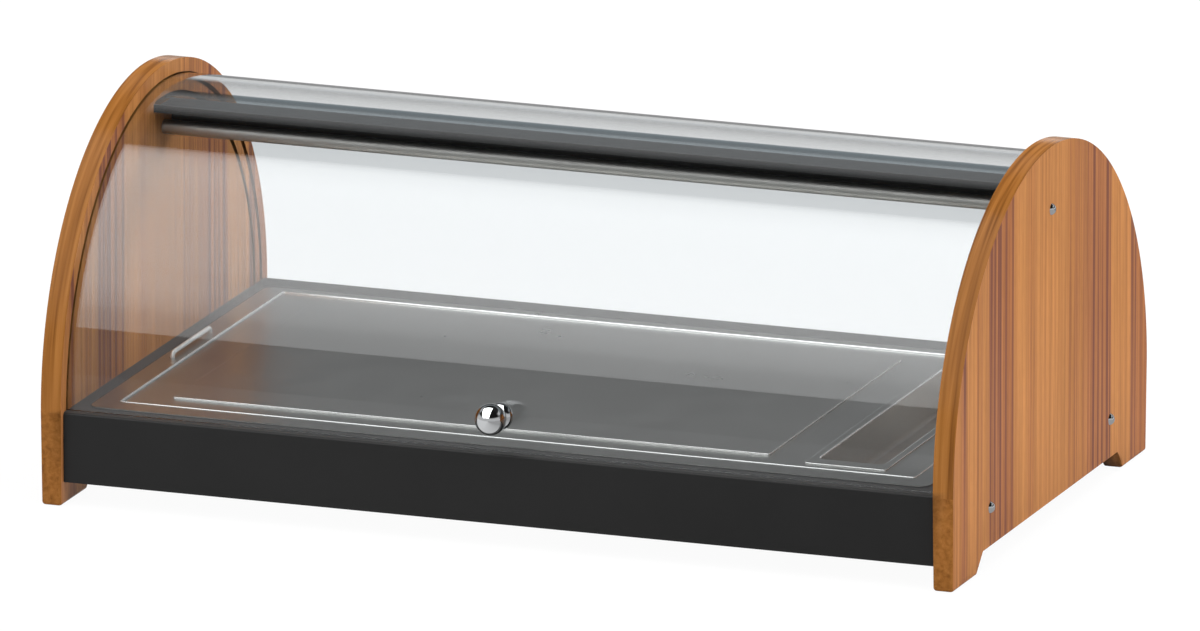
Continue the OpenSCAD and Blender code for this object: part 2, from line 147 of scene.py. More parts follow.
def grey_stops(profile: Iterable[FlatPoint]) -> list[tuple[float, Colour]]:
    """Returns a colour ramp's stops from pairs of place and brightness."""
    return [(place, (value, value, value, 1.0)) for place, value in profile]


def per_metre(size: float) -> float:
    """Returns the texture scale whose features are about this size, in metres."""
    return 1 / size


def add_node(
    tree: bpy.types.NodeTree,
    kind: str,
    settings: dict | None = None,
    links: dict | None = None,
) -> bpy.types.Node:
    """Adds a node with its settings and links.

    Args:
        tree: the node tree that it goes in.
        kind: Blender's name of the node type.
        settings: properties, sockets by name or number, and "stops" for a colour ramp.
        links: sockets by name or number, each with the output that feeds it.

    Returns:
        The new node.
    """
    node = tree.nodes.new(kind)
    for key, value in (settings or {}).items():
        if key == "stops":
            ramp = node.color_ramp
            while len(ramp.elements) < len(value):
                ramp.elements.new(0.5)
            for element, (place, colour) in zip(ramp.elements, value):
                element.position = place
                element.color = colour
        elif isinstance(key, str) and hasattr(node, key):
            setattr(node, key, value)
        else:
            node.inputs[key].default_value = value
    for key, source in (links or {}).items():
        tree.links.new(source, node.inputs[key])
    return node


def new_material(name: str) -> tuple[bpy.types.Material, bpy.types.NodeTree, bpy.types.Node]:
    """Makes an empty material.

    Args:
        name: what the material is called.

    Returns:
        The material, its node tree and its output node.
    """
    material = bpy.data.materials.new(name)
    material.use_nodes = True
    tree = material.node_tree
    tree.nodes.clear()
    return material, tree, tree.nodes.new("ShaderNodeOutputMaterial")


def position(tree: bpy.types.NodeTree, stretch: Point = (1, 1, 1)) -> bpy.types.NodeSocket:
    """Returns the place on the piece in the frame's metres, scaled along each axis."""
    place = add_node(tree, "ShaderNodeTexCoord").outputs["Object"]
    return add_node(tree, "ShaderNodeMapping", {"Scale": stretch}, {"Vector": place}).outputs[0]


def arc(centre: FlatPoint, radius: float, start: float, end: float, steps: int) -> list[FlatPoint]:
    """Points of an arc in depth and height.

    Args:
        centre: depth and height of its centre.
        radius: its radius.
        start: first angle from the top in radians, positive to the rear.
        end: last angle.
        steps: number of chords.

    Returns:
        The points in order.
    """
    angles = [start + (end - start) * i / steps for i in range(steps + 1)]
    return [(centre[0] + radius * math.sin(a), centre[1] + radius * math.cos(a)) for a in angles]


@dataclass(frozen=True)
class RoundRect:
    """Rectangle with round corners in the plane of the table."""

    x: float
    y: float
    width: float
    depth: float
    corner: float

    def inset(self, gap: float) -> "RoundRect":
        """Returns the rectangle that lies inside this one by a gap, or outside by a negative one."""
        corner = max(self.corner - gap, LEAST_CORNER)
        return RoundRect(self.x, self.y, self.width - 2 * gap, self.depth - 2 * gap, corner)

    def loop(self, z: float, steps: int = 8) -> list[Point]:
        """Traces the outline at a height.

        Args:
            z: the height.
            steps: number of chords in each corner.

        Returns:
            The points in order.
        """
        points = []
        for quarter in range(4):
            turn = quarter * RIGHT_ANGLE
            sx = 1 if quarter in (0, 3) else -1
            sy = 1 if quarter in (0, 1) else -1
            cx = self.x + sx * (self.width / 2 - self.corner)
            cy = self.y + sy * (self.depth / 2 - self.corner)
            for i in range(steps + 1):
                a = turn + RIGHT_ANGLE * i / steps
                points.append((cx + self.corner * math.cos(a), cy + self.corner * math.sin(a), z))
        return points

    def bend(
        self, inset: float, height: float, points: Iterable[FlatPoint], way: int = 1
    ) -> list[list[Point]]:
        """Returns the loops of a sheet's bend along this outline.

        Args:
            inset: how far inside this outline the bend's centre lies.
            height: the height of the bend's centre.
            points: the bend's points, from fold.
            way: -1 where the inset and the bend are measured outwards instead.

        Returns:
            One loop for each point.
        """
        return [self.inset(way * (inset + i)).loop(height + z) for i, z in points]


def fold(radius: float, start: float, end: float, steps: int = 5) -> list[FlatPoint]:
    """Points of a bend as inset and height from its centre, at angles from outward to up."""
    angles = [start + (end - start) * i / steps for i in range(steps + 1)]
    return [(-radius * math.cos(a), radius * math.sin(a)) for a in angles]


def loft(bm: bmesh.types.BMesh, loops: Sequence[Sequence[Point]]) -> None:
    """Skins loops with equal numbers of points and closes both ends.

    Args:
        bm: the mesh that it goes in.
        loops: the loops in order.
    """
    rings = [[bm.verts.new(p) for p in loop] for loop in loops]
    for one, two in zip(rings, rings[1:]):
        for i in range(len(one)):
            j = (i + 1) % len(one)
            bm.faces.new((one[i], one[j], two[j], two[i]))
    bm.faces.new(list(reversed(rings[0])))
    bm.faces.new(rings[-1])


def extrude_along_x(bm: bmesh.types.BMesh, outline: Sequence[FlatPoint], x0: float, x1: float) -> None:
    """Adds a prism along X whose section is an outline in depth and height."""
    loft(bm, [[(x, y, z) for y, z in outline] for x in (x0, x1)])


def lathe(bm: bmesh.types.BMesh, profile: Sequence[FlatPoint], steps: int = 48) -> None:
    """Adds a solid turned about Z.

    Args:
        bm: the mesh that it goes in.
        profile: radius and height from the bottom to the top, with both ends on the axis.
        steps: number of facets around.
    """
    rings = []
    for radius, height in profile:
        if radius < NO_LENGTH:
            rings.append([bm.verts.new((0, 0, height))])
        else:
            turns = [ROUND * i / steps for i in range(steps)]
            ring = [(radius * math.cos(a), radius * math.sin(a), height) for a in turns]
            rings.append([bm.verts.new(point) for point in ring])
    for one, two in zip(rings, rings[1:]):
        for i in range(steps):
            j = (i + 1) % steps
            corners = [one[i % len(one)], one[j % len(one)], two[j % len(two)], two[i % len(two)]]
            bm.faces.new(list(dict.fromkeys(corners)))


def sweep_ring(
    bm: bmesh.types.BMesh,
    section: Sequence[FlatPoint],
    place: Callable[[float, float, float], Point],
    steps: int,
) -> None:
    """Sweeps a closed section once round an axis.

    Args:
        bm: the mesh that it goes in.
        section: radius and distance along the axis of each corner.
        place: turns a radius, a distance along the axis and an angle to a point.
        steps: number of facets around.
    """
    turns = [ROUND * i / steps for i in range(steps)]
    rings = [[bm.verts.new(place(radius, along, a)) for radius, along in section] for a in turns]
    for one, two in zip(rings, rings[1:] + rings[:1]):
        for k in range(len(section)):
            n = (k + 1) % len(section)
            bm.faces.new((one[k], two[k], two[n], one[n]))


def round_edges(
    bm: bmesh.types.BMesh,
    keep: Callable[[bmesh.types.BMEdge], bool],
    radius: float,
    segments: int = 4,
) -> None:
    """Rounds the edges of a mesh that a test picks.

    Args:
        bm: the mesh.
        keep: true for an edge that is to be rounded.
        radius: the radius of the rounding.
        segments: number of facets across it.
    """
    edges = [e for e in bm.edges if keep(e)]
    bmesh.ops.bevel(
        bm, geom=edges, offset=radius, segments=segments, profile=0.5, affect="EDGES", clamp_overlap=True
    )


def at_ends(edge: bmesh.types.BMEdge) -> bool:
    """True for an edge in an end face of a prism along X."""
    return abs(edge.verts[0].co.x - edge.verts[1].co.x) < NO_LENGTH


def is_square(edge: bmesh.types.BMEdge) -> bool:
    """True for an edge where two faces meet squarely, or nearly so."""
    return edge.calc_face_angle(0) > SQUARE_TURN


def make_object(name: str, bm: bmesh.types.BMesh, sharp: float = 32) -> bpy.types.Object:
    """Turns a mesh under construction into an object.

    Args:
        name: the object's name.
        bm: the mesh, which is freed.
        sharp: edges that turn by more than this many degrees stay sharp.

    Returns:
        The object, at the frame's origin.
    """
    bmesh.ops.remove_doubles(bm, verts=bm.verts, dist=NO_LENGTH)
    bmesh.ops.recalc_face_normals(bm, faces=bm.faces)
    mesh = bpy.data.meshes.new(name)
    bm.to_mesh(mesh)
    bm.free()
    piece = bpy.data.objects.new(name, mesh)
    bpy.context.scene.collection.objects.link(piece)
    smooth(piece, sharp)
    return piece


def smooth(piece: bpy.types.Object, sharp: float = 32) -> None:
    """Shades a piece smooth apart from its sharp edges, led by its large faces.

    Args:
        piece: the piece.
        sharp: edges that turn by more than this many degrees stay sharp.
    """
    piece.data.shade_smooth()
    piece.data.set_sharp_from_angle(angle=math.radians(sharp))
    if "large faces lead" not in piece.modifiers:
        lead = piece.modifiers.new("large faces lead", "WEIGHTED_NORMAL")
        lead.keep_sharp = True


def carve(piece: bpy.types.Object, cutters: Iterable[bpy.types.Object]) -> None:
    """Cuts other objects out of a piece and removes them.

    Args:
        piece: the piece that is cut.
        cutters: the objects that are cut out of it.
    """
    piece.modifiers.clear()
    cutters = list(cutters)
    for cutter in cutters:
        cut = piece.modifiers.new("cut", "BOOLEAN")
        cut.operation = "DIFFERENCE"
        cut.solver = "EXACT"
        cut.object = cutter
    whole = piece.evaluated_get(bpy.context.evaluated_depsgraph_get())
    mesh = bpy.data.meshes.new_from_object(whole)
    piece.modifiers.clear()
    old = piece.data
    piece.data = mesh
    bpy.data.meshes.remove(old)
    for cutter in cutters:
        bpy.data.objects.remove(cutter)
    smooth(piece)


def prism(name: str, outline: Sequence[FlatPoint], x0: float, x1: float) -> bpy.types.Object:
    """Makes a plain prism along X, which serves as a cutter.

    Args:
        name: the cutter's name.
        outline: its section in depth and height.
        x0: where it starts.
        x1: where it ends.

    Returns:
        The cutter.
    """
    bm = bmesh.new()
    extrude_along_x(bm, outline, x0, x1)
    return make_object(name, bm)


def well(name: str, rect: RoundRect, z0: float, z1: float) -> bpy.types.Object:
    """Makes a plain upright prism with round corners, which serves as a cutter.

    Args:
        name: the cutter's name.
        rect: its outline.
        z0: the height of its foot.
        z1: the height of its top.

    Returns:
        The cutter.
    """
    bm = bmesh.new()
    loft(bm, [rect.loop(z0), rect.loop(z1)])
    return make_object(name, bm)


def dress(
    piece: bpy.types.Object,
    materials: Sequence[bpy.types.Material],
    body: Body,
    replaces: Sequence[str] = (),
) -> bpy.types.Object:
    """Gives a piece its materials and its body, and hides the frame's nodes that it stands for.

    Args:
        piece: the piece.
        materials: its materials, in the order that its faces number them.
        body: the body that it rides on.
        replaces: the frame's nodes that it stands for.

    Returns:
        The same piece.
    """
    for material in materials:
        piece.data.materials.append(material)
    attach(piece, body.value)
    if replaces:
        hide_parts(*replaces)
    log.info("%s: %d faces, on %s", piece.name, len(piece.data.polygons), body.value)
    return piece


# Finishes


def vary(
    tree: bpy.types.NodeTree, colour: str, pattern: bpy.types.NodeSocket, variation: float
) -> bpy.types.NodeSocket:
    """Makes a colour paler and darker by a pattern.

    Args:
        tree: the finish's node tree.
        colour: the sRGB hex colour.
        pattern: the output of the pattern.
        variation: how much paler or darker it gets, as a share.

    Returns:
        The output that holds the varied colour.
    """
    light = add_node(
        tree,
        "ShaderNodeMapRange",
        {"From Min": 0.3, "From Max": 0.7, "To Min": 1 - variation, "To Max": 1 + variation},
        {0: pattern},
    )
    varied = add_node(
        tree,
        "ShaderNodeVectorMath",
        {"operation": "SCALE", 0: srgb(colour)[:3]},
        {"Scale": light.outputs[0]},
    )
    return varied.outputs[0]


def coat(
    tree: bpy.types.NodeTree,
    output: bpy.types.Node,
    colour: bpy.types.NodeSocket,
    relief: tuple[bpy.types.NodeSocket, float, float],
    roughness: tuple[bpy.types.NodeSocket, float, float],
    settings: dict,
) -> None:
    """Ends a finish with its relief, its uneven roughness and its shader.

    Args:
        tree: the finish's node tree.
        output: its output node.
        colour: the output that holds its colour.
        relief: the relief's pattern, how strongly it shows and how deep it is.
        roughness: the roughness's pattern, its least value and its greatest.
        settings: the shader's uniform values.
    """
    heights, strength, depth = relief
    bump = add_node(
        tree, "ShaderNodeBump", {"Strength": strength, "Distance": depth}, {"Height": heights}
    )
    patches, least, greatest = roughness
    uneven = add_node(tree, "ShaderNodeMapRange", {"To Min": least, "To Max": greatest}, {0: patches})
    shader = add_node(
        tree,
        "ShaderNodeBsdfPrincipled",
        settings,
        {"Base Color": colour, "Roughness": uneven.outputs[0], "Normal": bump.outputs[0]},
    )
    tree.links.new(shader.outputs[0], output.inputs[0])


class WoodTone(Enum):
    """Colours of the veneer's growth bands, from pale early wood to the dark ones."""

    HONEY = "#AE7542"
    AMBER = "#A86F3F"
    RUSSET = "#99613A"
    CHESTNUT = "#9A633D"


@dataclass(frozen=True)
class GrowthBand:
    """A stretch of the veneer across its grain, from the panel's front edge, and how lined it is."""

    start: float
    end: float
    tone: WoodTone
    lines: float


@dataclass(frozen=True)
class TeakVeneer:
    """Teak-look veneer on the faces of the panels, quarter cut and lacquered.

    The eye gets straight upright grain: pale and russet bands, fine streaks and thin plum lines,
    under a clear coat that mirrors what lies low beside it.
    """

    front: float
    depth: float
    bands: tuple[GrowthBand, ...] = (
        GrowthBand(0 * MM, 19 * MM, WoodTone.AMBER, 0.2),
        GrowthBand(21 * MM, 33 * MM, WoodTone.CHESTNUT, 1.0),
        GrowthBand(36 * MM, 56 * MM, WoodTone.HONEY, 0.15),
        GrowthBand(57 * MM, 68 * MM, WoodTone.AMBER, 0.35),
        GrowthBand(70 * MM, 88 * MM, WoodTone.HONEY, 0.25),
        GrowthBand(90 * MM, 120 * MM, WoodTone.CHESTNUT, 1.0),
        GrowthBand(122 * MM, 148 * MM, WoodTone.RUSSET, 0.9),
        GrowthBand(150 * MM, 182 * MM, WoodTone.HONEY, 0.1),
        GrowthBand(184 * MM, 199 * MM, WoodTone.AMBER, 0.55),
        GrowthBand(202 * MM, 282 * MM, WoodTone.HONEY, 0.12),
        GrowthBand(285 * MM, 331 * MM, WoodTone.AMBER, 0.4),
        GrowthBand(334 * MM, 391 * MM, WoodTone.CHESTNUT, 1.0),
        GrowthBand(394 * MM, 441 * MM, WoodTone.HONEY, 0.2),
        GrowthBand(444 * MM, 463 * MM, WoodTone.CHESTNUT, 1.0),
        GrowthBand(466 * MM, 485 * MM, WoodTone.RUSSET, 0.5),
    )
    plum: str = "#6A4136"
    # Streaks and lines are about 1.5 mm wide on the real veneer; they are drawn coarser to show
    streak_width: float = 4.6 * MM
    streak_length: float = 260 * MM
    fibre_width: float = 0.9 * MM
    fibre_length: float = 14 * MM
    line_spacing: float = 7.5 * MM
    line_length: float = 1200 * MM
    grain_depth: float = 0.01 * MM
    # The bands wander this far to each side, over about these widths and lengths
    wander: float = 1.2 * MM
    wander_width: float = 90 * MM
    wander_length: float = 225 * MM
    roughness: float = 0.1
    gloss: float = 0.06

    def make(self) -> bpy.types.Material:
        """Makes the veneer's material.

        Returns:
            The material.
        """
        material, tree, output = new_material("teak_veneer")
        place = self.across(tree)
        growth = add_node(
            tree,
            "ShaderNodeValToRGB",
            {"stops": self.ends(lambda band: srgb(band.tone.value))},
            {"Fac": place},
        )
        lined = add_node(
            tree,
            "ShaderNodeValToRGB",
            {"stops": grey_stops(self.ends(lambda band: band.lines))},
            {"Fac": place},
        )
        streaks = add_node(
            tree,
            "ShaderNodeTexNoise",
            {"Scale": per_metre(self.streak_width), "Detail": 3.0, "Roughness": 0.6},
            {"Vector": position(tree, (1, 1, self.streak_width / self.streak_length))},
        )
        fibres = add_node(
            tree,
            "ShaderNodeTexNoise",
            {"Scale": per_metre(self.fibre_width), "Detail": 2.0},
            {"Vector": position(tree, (1, 1, self.fibre_width / self.fibre_length))},
        )
        light = add_node(
            tree,
            "ShaderNodeMapRange",
            {"From Min": 0.32, "From Max": 0.68, "To Min": 0.78, "To Max": 1.18},
            {0: streaks.outputs["Fac"]},
        )
        fleck = add_node(
            tree,
            "ShaderNodeMapRange",
            {"From Min": 0.3, "From Max": 0.7, "To Min": 0.92, "To Max": 1.07},
            {0: fibres.outputs["Fac"]},
        )
        shade = add_node(
            tree, "ShaderNodeMath", {"operation": "MULTIPLY"}, {0: light.outputs[0], 1: fleck.outputs[0]}
        )
        grained = add_node(
            tree,
            "ShaderNodeVectorMath",
            {"operation": "SCALE"},
            {0: growth.outputs["Color"], "Scale": shade.outputs[0]},
        )
        rows = add_node(
            tree,
            "ShaderNodeTexNoise",
            {"Scale": per_metre(self.line_spacing), "Detail": 2.0, "Roughness": 0.6},
            {"Vector": position(tree, (0, 1, self.line_spacing / self.line_length))},
        )
        lines = add_node(
            tree,
            "ShaderNodeMapRange",
            {"From Min": 0.49, "From Max": 0.56, "To Min": 0.0, "To Max": 0.85},
            {0: rows.outputs["Fac"]},
        )
        inked = add_node(
            tree,
            "ShaderNodeMath",
            {"operation": "MULTIPLY"},
            {0: lines.outputs[0], 1: lined.outputs["Color"]},
        )
        colour = add_node(
            tree,
            "ShaderNodeMix",
            {"data_type": "RGBA", 7: srgb(self.plum)},
            {0: inked.outputs[0], 6: grained.outputs[0]},
        )
        relief = (fibres.outputs["Fac"], 0.2, self.grain_depth)
        roughness = (streaks.outputs["Fac"], self.roughness - 0.03, self.roughness + 0.04)
        coat(tree, output, colour.outputs[2], relief, roughness, {"Specular IOR Level": self.gloss})
        return material

    def across(self, tree: bpy.types.NodeTree) -> bpy.types.NodeSocket:
        """Works out how far across the veneer a point lies, with a slight wander.

        Args:
            tree: the finish's node tree.

        Returns:
            The output that holds it, from 0 at the front edge to 1 at the rear one.
        """
        wander = add_node(
            tree,
            "ShaderNodeTexNoise",
            {"Scale": per_metre(self.wander_width), "Detail": 1.0},
            {"Vector": position(tree, (1, 1, self.wander_width / self.wander_length))},
        )
        shift = add_node(
            tree,
            "ShaderNodeMapRange",
            {"From Min": 0.3, "From Max": 0.7, "To Min": -self.wander, "To Max": self.wander},
            {0: wander.outputs["Fac"]},
        )
        axes = add_node(tree, "ShaderNodeSeparateXYZ", {}, {0: position(tree)})
        moved = add_node(
            tree, "ShaderNodeMath", {"operation": "ADD"}, {0: axes.outputs["Y"], 1: shift.outputs[0]}
        )
        share = add_node(
            tree,
            "ShaderNodeMapRange",
            {"From Min": self.front, "From Max": self.front + self.depth},
            {0: moved.outputs[0]},
        )
        return share.outputs[0]

    def ends(self, value: Callable[[GrowthBand], Colour | float]) -> list[tuple[float, Colour | float]]:
        """Returns both ends of each band, as shares of the veneer's width, with the band's value."""
        return [(edge / self.depth, value(band)) for band in self.bands for edge in (band.start, band.end)]


@dataclass(frozen=True)
class TeakLipping:
    """Solid teak lipping bent round the panels' edges, lacquered.

    The eye gets streaks that run along the arch, and on the straight feet a mottled end cut.
    """

    name: str
    pale: str = "#8F5F2F"
    mid: str = "#7F5124"
    dark: str = "#623B18"
    streak_width: float = 4.5 * MM
    # How fast the streaks change along each axis, beside their width
    streak_rates: Point = (1, 0.03, 0.03)
    mottle: float = 0.0
    mottle_size: float = 5 * MM
    pore_depth: float = 0.01 * MM
    roughness: float = 0.12
    gloss: float = 0.06

    def make(self) -> bpy.types.Material:
        """Makes the lipping's material.

        Returns:
            The material.
        """
        material, tree, output = new_material(self.name)
        streaks = add_node(
            tree,
            "ShaderNodeTexNoise",
            {"Scale": per_metre(self.streak_width), "Detail": 2.5, "Roughness": 0.55},
            {"Vector": position(tree, self.streak_rates)},
        )
        blotches = add_node(
            tree,
            "ShaderNodeTexNoise",
            {"Scale": per_metre(self.mottle_size), "Detail": 5.0, "Roughness": 0.65, "Distortion": 0.4},
            {"Vector": position(tree)},
        )
        blend = add_node(
            tree,
            "ShaderNodeMix",
            {"data_type": "FLOAT", 0: self.mottle},
            {2: streaks.outputs["Fac"], 3: blotches.outputs["Fac"]},
        )
        colour = add_node(
            tree,
            "ShaderNodeValToRGB",
            {"stops": [(0.3, srgb(self.dark)), (0.48, srgb(self.mid)), (0.68, srgb(self.pale))]},
            {"Fac": blend.outputs[0]},
        )
        relief = (blotches.outputs["Fac"], 0.15, self.pore_depth)
        roughness = (blotches.outputs["Fac"], self.roughness - 0.03, self.roughness + 0.05)
        coat(tree, output, colour.outputs[0], relief, roughness, {"Specular IOR Level": self.gloss})
        return material


@dataclass(frozen=True)
class MouldedPlastic:
    """Injection moulded or foamed plastic with a fine spark-eroded grain.

    The eye gets an even colour whose highlights are broken up by the grain.
    """

    name: str
    colour: str
    roughness: float = 0.45
    grain: float = 0.6 * MM
    grain_depth: float = 0.02 * MM
    # How much the colour varies, as a share, and over about what size
    variation: float = 0.06
    cloud_size: float = 60 * MM
    gloss: float = 0.4
    # How much paler the grain makes it where it is seen at a low angle
    bloom: float = 0.0

    def make(self) -> bpy.types.Material:
        """Makes the plastic's material.

        Returns:
            The material.
        """
        material, tree, output = new_material(self.name)
        grain = add_node(
            tree,
            "ShaderNodeTexNoise",
            {"Scale": per_metre(self.grain), "Detail": 2.0},
            {"Vector": position(tree)},
        )
        clouds = add_node(
            tree,
            "ShaderNodeTexNoise",
            {"Scale": per_metre(self.cloud_size), "Detail": 2.0},
            {"Vector": position(tree)},
        )
        colour = vary(tree, self.colour, clouds.outputs["Fac"], self.variation)
        relief = (grain.outputs["Fac"], 0.3, self.grain_depth)
        roughness = (clouds.outputs["Fac"], self.roughness - 0.05, self.roughness + 0.07)
        settings = {"Specular IOR Level": self.gloss, "Sheen Weight": self.bloom, "Sheen Roughness": 0.4}
        coat(tree, output, colour, relief, roughness, settings)
        return material


@dataclass(frozen=True)
class CastAcrylic:
    """Clear cast acrylic sheet, bent to the arch and polished.

    The eye gets a clear view through, a faint smoky blue that deepens along the edges, where the
    light runs far inside the sheet, and mirror-like reflections.
    """

    ior: float = 1.49
    # Share of red, green and blue that the sheet lets through, to a power that follows the path
    hue: Colour = (0.49, 0.552, 0.58, 1.0)
    # How fast the sheet takes light away, per metre
    density: float = 61.0
    shade: str = "#FAFAFA"

    def make(self) -> bpy.types.Material:
        """Makes the sheet's material. Light to and from the pieces behind it passes straight on.

        Returns:
            The material.
        """
        material, tree, output = new_material("cast_acrylic")
        sheet = add_node(
            tree,
            "ShaderNodeBsdfPrincipled",
            {
                "Base Color": (1.0, 1.0, 1.0, 1.0),
                "Roughness": 0.0,
                "IOR": self.ior,
                "Transmission Weight": 1.0,
            },
        )
        clear = add_node(tree, "ShaderNodeBsdfTransparent", {"Color": srgb(self.shade)})
        both = add_node(
            tree,
            "ShaderNodeMixShader",
            {},
            {0: self.passing(tree), 1: sheet.outputs[0], 2: clear.outputs[0]},
        )
        smoke = add_node(tree, "ShaderNodeVolumeAbsorption", {"Color": self.hue, "Density": self.density})
        tree.links.new(both.outputs[0], output.inputs["Surface"])
        tree.links.new(smoke.outputs[0], output.inputs["Volume"])
        return material

    def passing(self, tree: bpy.types.NodeTree) -> bpy.types.NodeSocket:
        """Tells rays to lamps and rays that another piece reflects from all others.

        A ray that the sheet's own faces reflect has gone in once and not yet out, so the number of
        its transmissions is odd: it keeps to the sheet's laws.

        Args:
            tree: the finish's node tree.

        Returns:
            The output that holds 1 for these rays and 0 for others.
        """
        rays = add_node(tree, "ShaderNodeLightPath")
        turned = add_node(
            tree,
            "ShaderNodeMath",
            {"operation": "MAXIMUM"},
            {0: rays.outputs["Is Glossy Ray"], 1: rays.outputs["Is Diffuse Ray"]},
        )
        inside = add_node(
            tree, "ShaderNodeMath", {"operation": "MODULO", 1: 2.0}, {0: rays.outputs["Transmission Depth"]}
        )
        outside = add_node(
            tree, "ShaderNodeMath", {"operation": "LESS_THAN", 1: 0.5}, {0: inside.outputs[0]}
        )
        reflected = add_node(
            tree, "ShaderNodeMath", {"operation": "MULTIPLY"}, {0: turned.outputs[0], 1: outside.outputs[0]}
        )
        either = add_node(
            tree,
            "ShaderNodeMath",
            {"operation": "MAXIMUM"},
            {0: reflected.outputs[0], 1: rays.outputs["Is Shadow Ray"]},
        )
        return either.outputs[0]


@dataclass(frozen=True)
class WorkedMetal:
    """Metal whose surface was rolled, brushed, plated or anodised.

    The eye gets its own reflection colour, blurred along the marks of the tool that worked it.
    """

    name: str
    colour: str
    roughness: float
    # Width and length of one tool mark, and the axis that the marks run along
    mark_width: float = 0.5 * MM
    mark_length: float = 30 * MM
    mark_axis: int = 0
    mark_depth: float = 0.004 * MM
    contrast: float = 0.05
    # How much the roughness varies to each side, over about what size, and what it never falls below
    spread: float = 0.06
    smear_size: float = 45 * MM
    least_roughness: float = 0.02
    metallic: float = 1.0

    def make(self) -> bpy.types.Material:
        """Makes the metal's material.

        Returns:
            The material.
        """
        material, tree, output = new_material(self.name)
        stretch = [1.0, 1.0, 1.0]
        stretch[self.mark_axis] = self.mark_width / self.mark_length
        marks = add_node(
            tree,
            "ShaderNodeTexNoise",
            {"Scale": per_metre(self.mark_width), "Detail": 3.0, "Roughness": 0.6},
            {"Vector": position(tree, tuple(stretch))},
        )
        smears = add_node(
            tree,
            "ShaderNodeTexNoise",
            {"Scale": per_metre(self.smear_size), "Detail": 3.0},
            {"Vector": position(tree)},
        )
        colour = vary(tree, self.colour, marks.outputs["Fac"], self.contrast)
        relief = (marks.outputs["Fac"], 0.4, self.mark_depth)
        least = max(self.roughness - self.spread, self.least_roughness)
        roughness = (smears.outputs["Fac"], least, self.roughness + self.spread)
        coat(tree, output, colour, relief, roughness, {"Metallic": self.metallic})
        return material


# Sub-assemblies


@dataclass
class Arch:
    """The arch that the panels, covers and rail share, read from the frame."""

    y: float = 0.0
    z: float = 0.0
    radius: float = 0.0
    centre: FlatPoint = (0.0, 0.0)

    def __post_init__(self) -> None:
        """Reads the arch from the left panel's box."""
        low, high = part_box("left_panel")
        self.radius = (high.y - low.y) / 2
        self.y = (high.y + low.y) / 2
        self.z = high.z - self.radius
        self.centre = (self.y, self.z)


@dataclass
class RailSection:
    """Section of the top rail in depth and height, read from the frame."""

    sheet: float = 2 * MM
    lip_up: float = 3.3 * MM
    lip_down: float = 3.1 * MM

    def outline(self, play: float = 0.0) -> list[FlatPoint]:
        """Draws the outline, grown by a clearance.

        Args:
            play: the clearance.

        Returns:
            The points in depth and height.
        """
        low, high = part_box("top_rail")
        front, rear = low.y - play, high.y + play
        web_top = high.z - self.lip_up + play
        web_bottom = high.z - self.lip_up - self.sheet - play
        lip_back = low.y + self.sheet + play
        leg_front = high.y - self.sheet - play
        return [
            (front, high.z + play),
            (front, high.z - self.lip_up - self.lip_down - play),
            (lip_back, high.z - self.lip_up - self.lip_down - play),
            (lip_back, web_bottom),
            (leg_front, web_bottom),
            (leg_front, low.z - play),
            (rear, low.z - play),
            (rear, web_top),
            (lip_back, web_top),
            (lip_back, high.z + play),
        ]


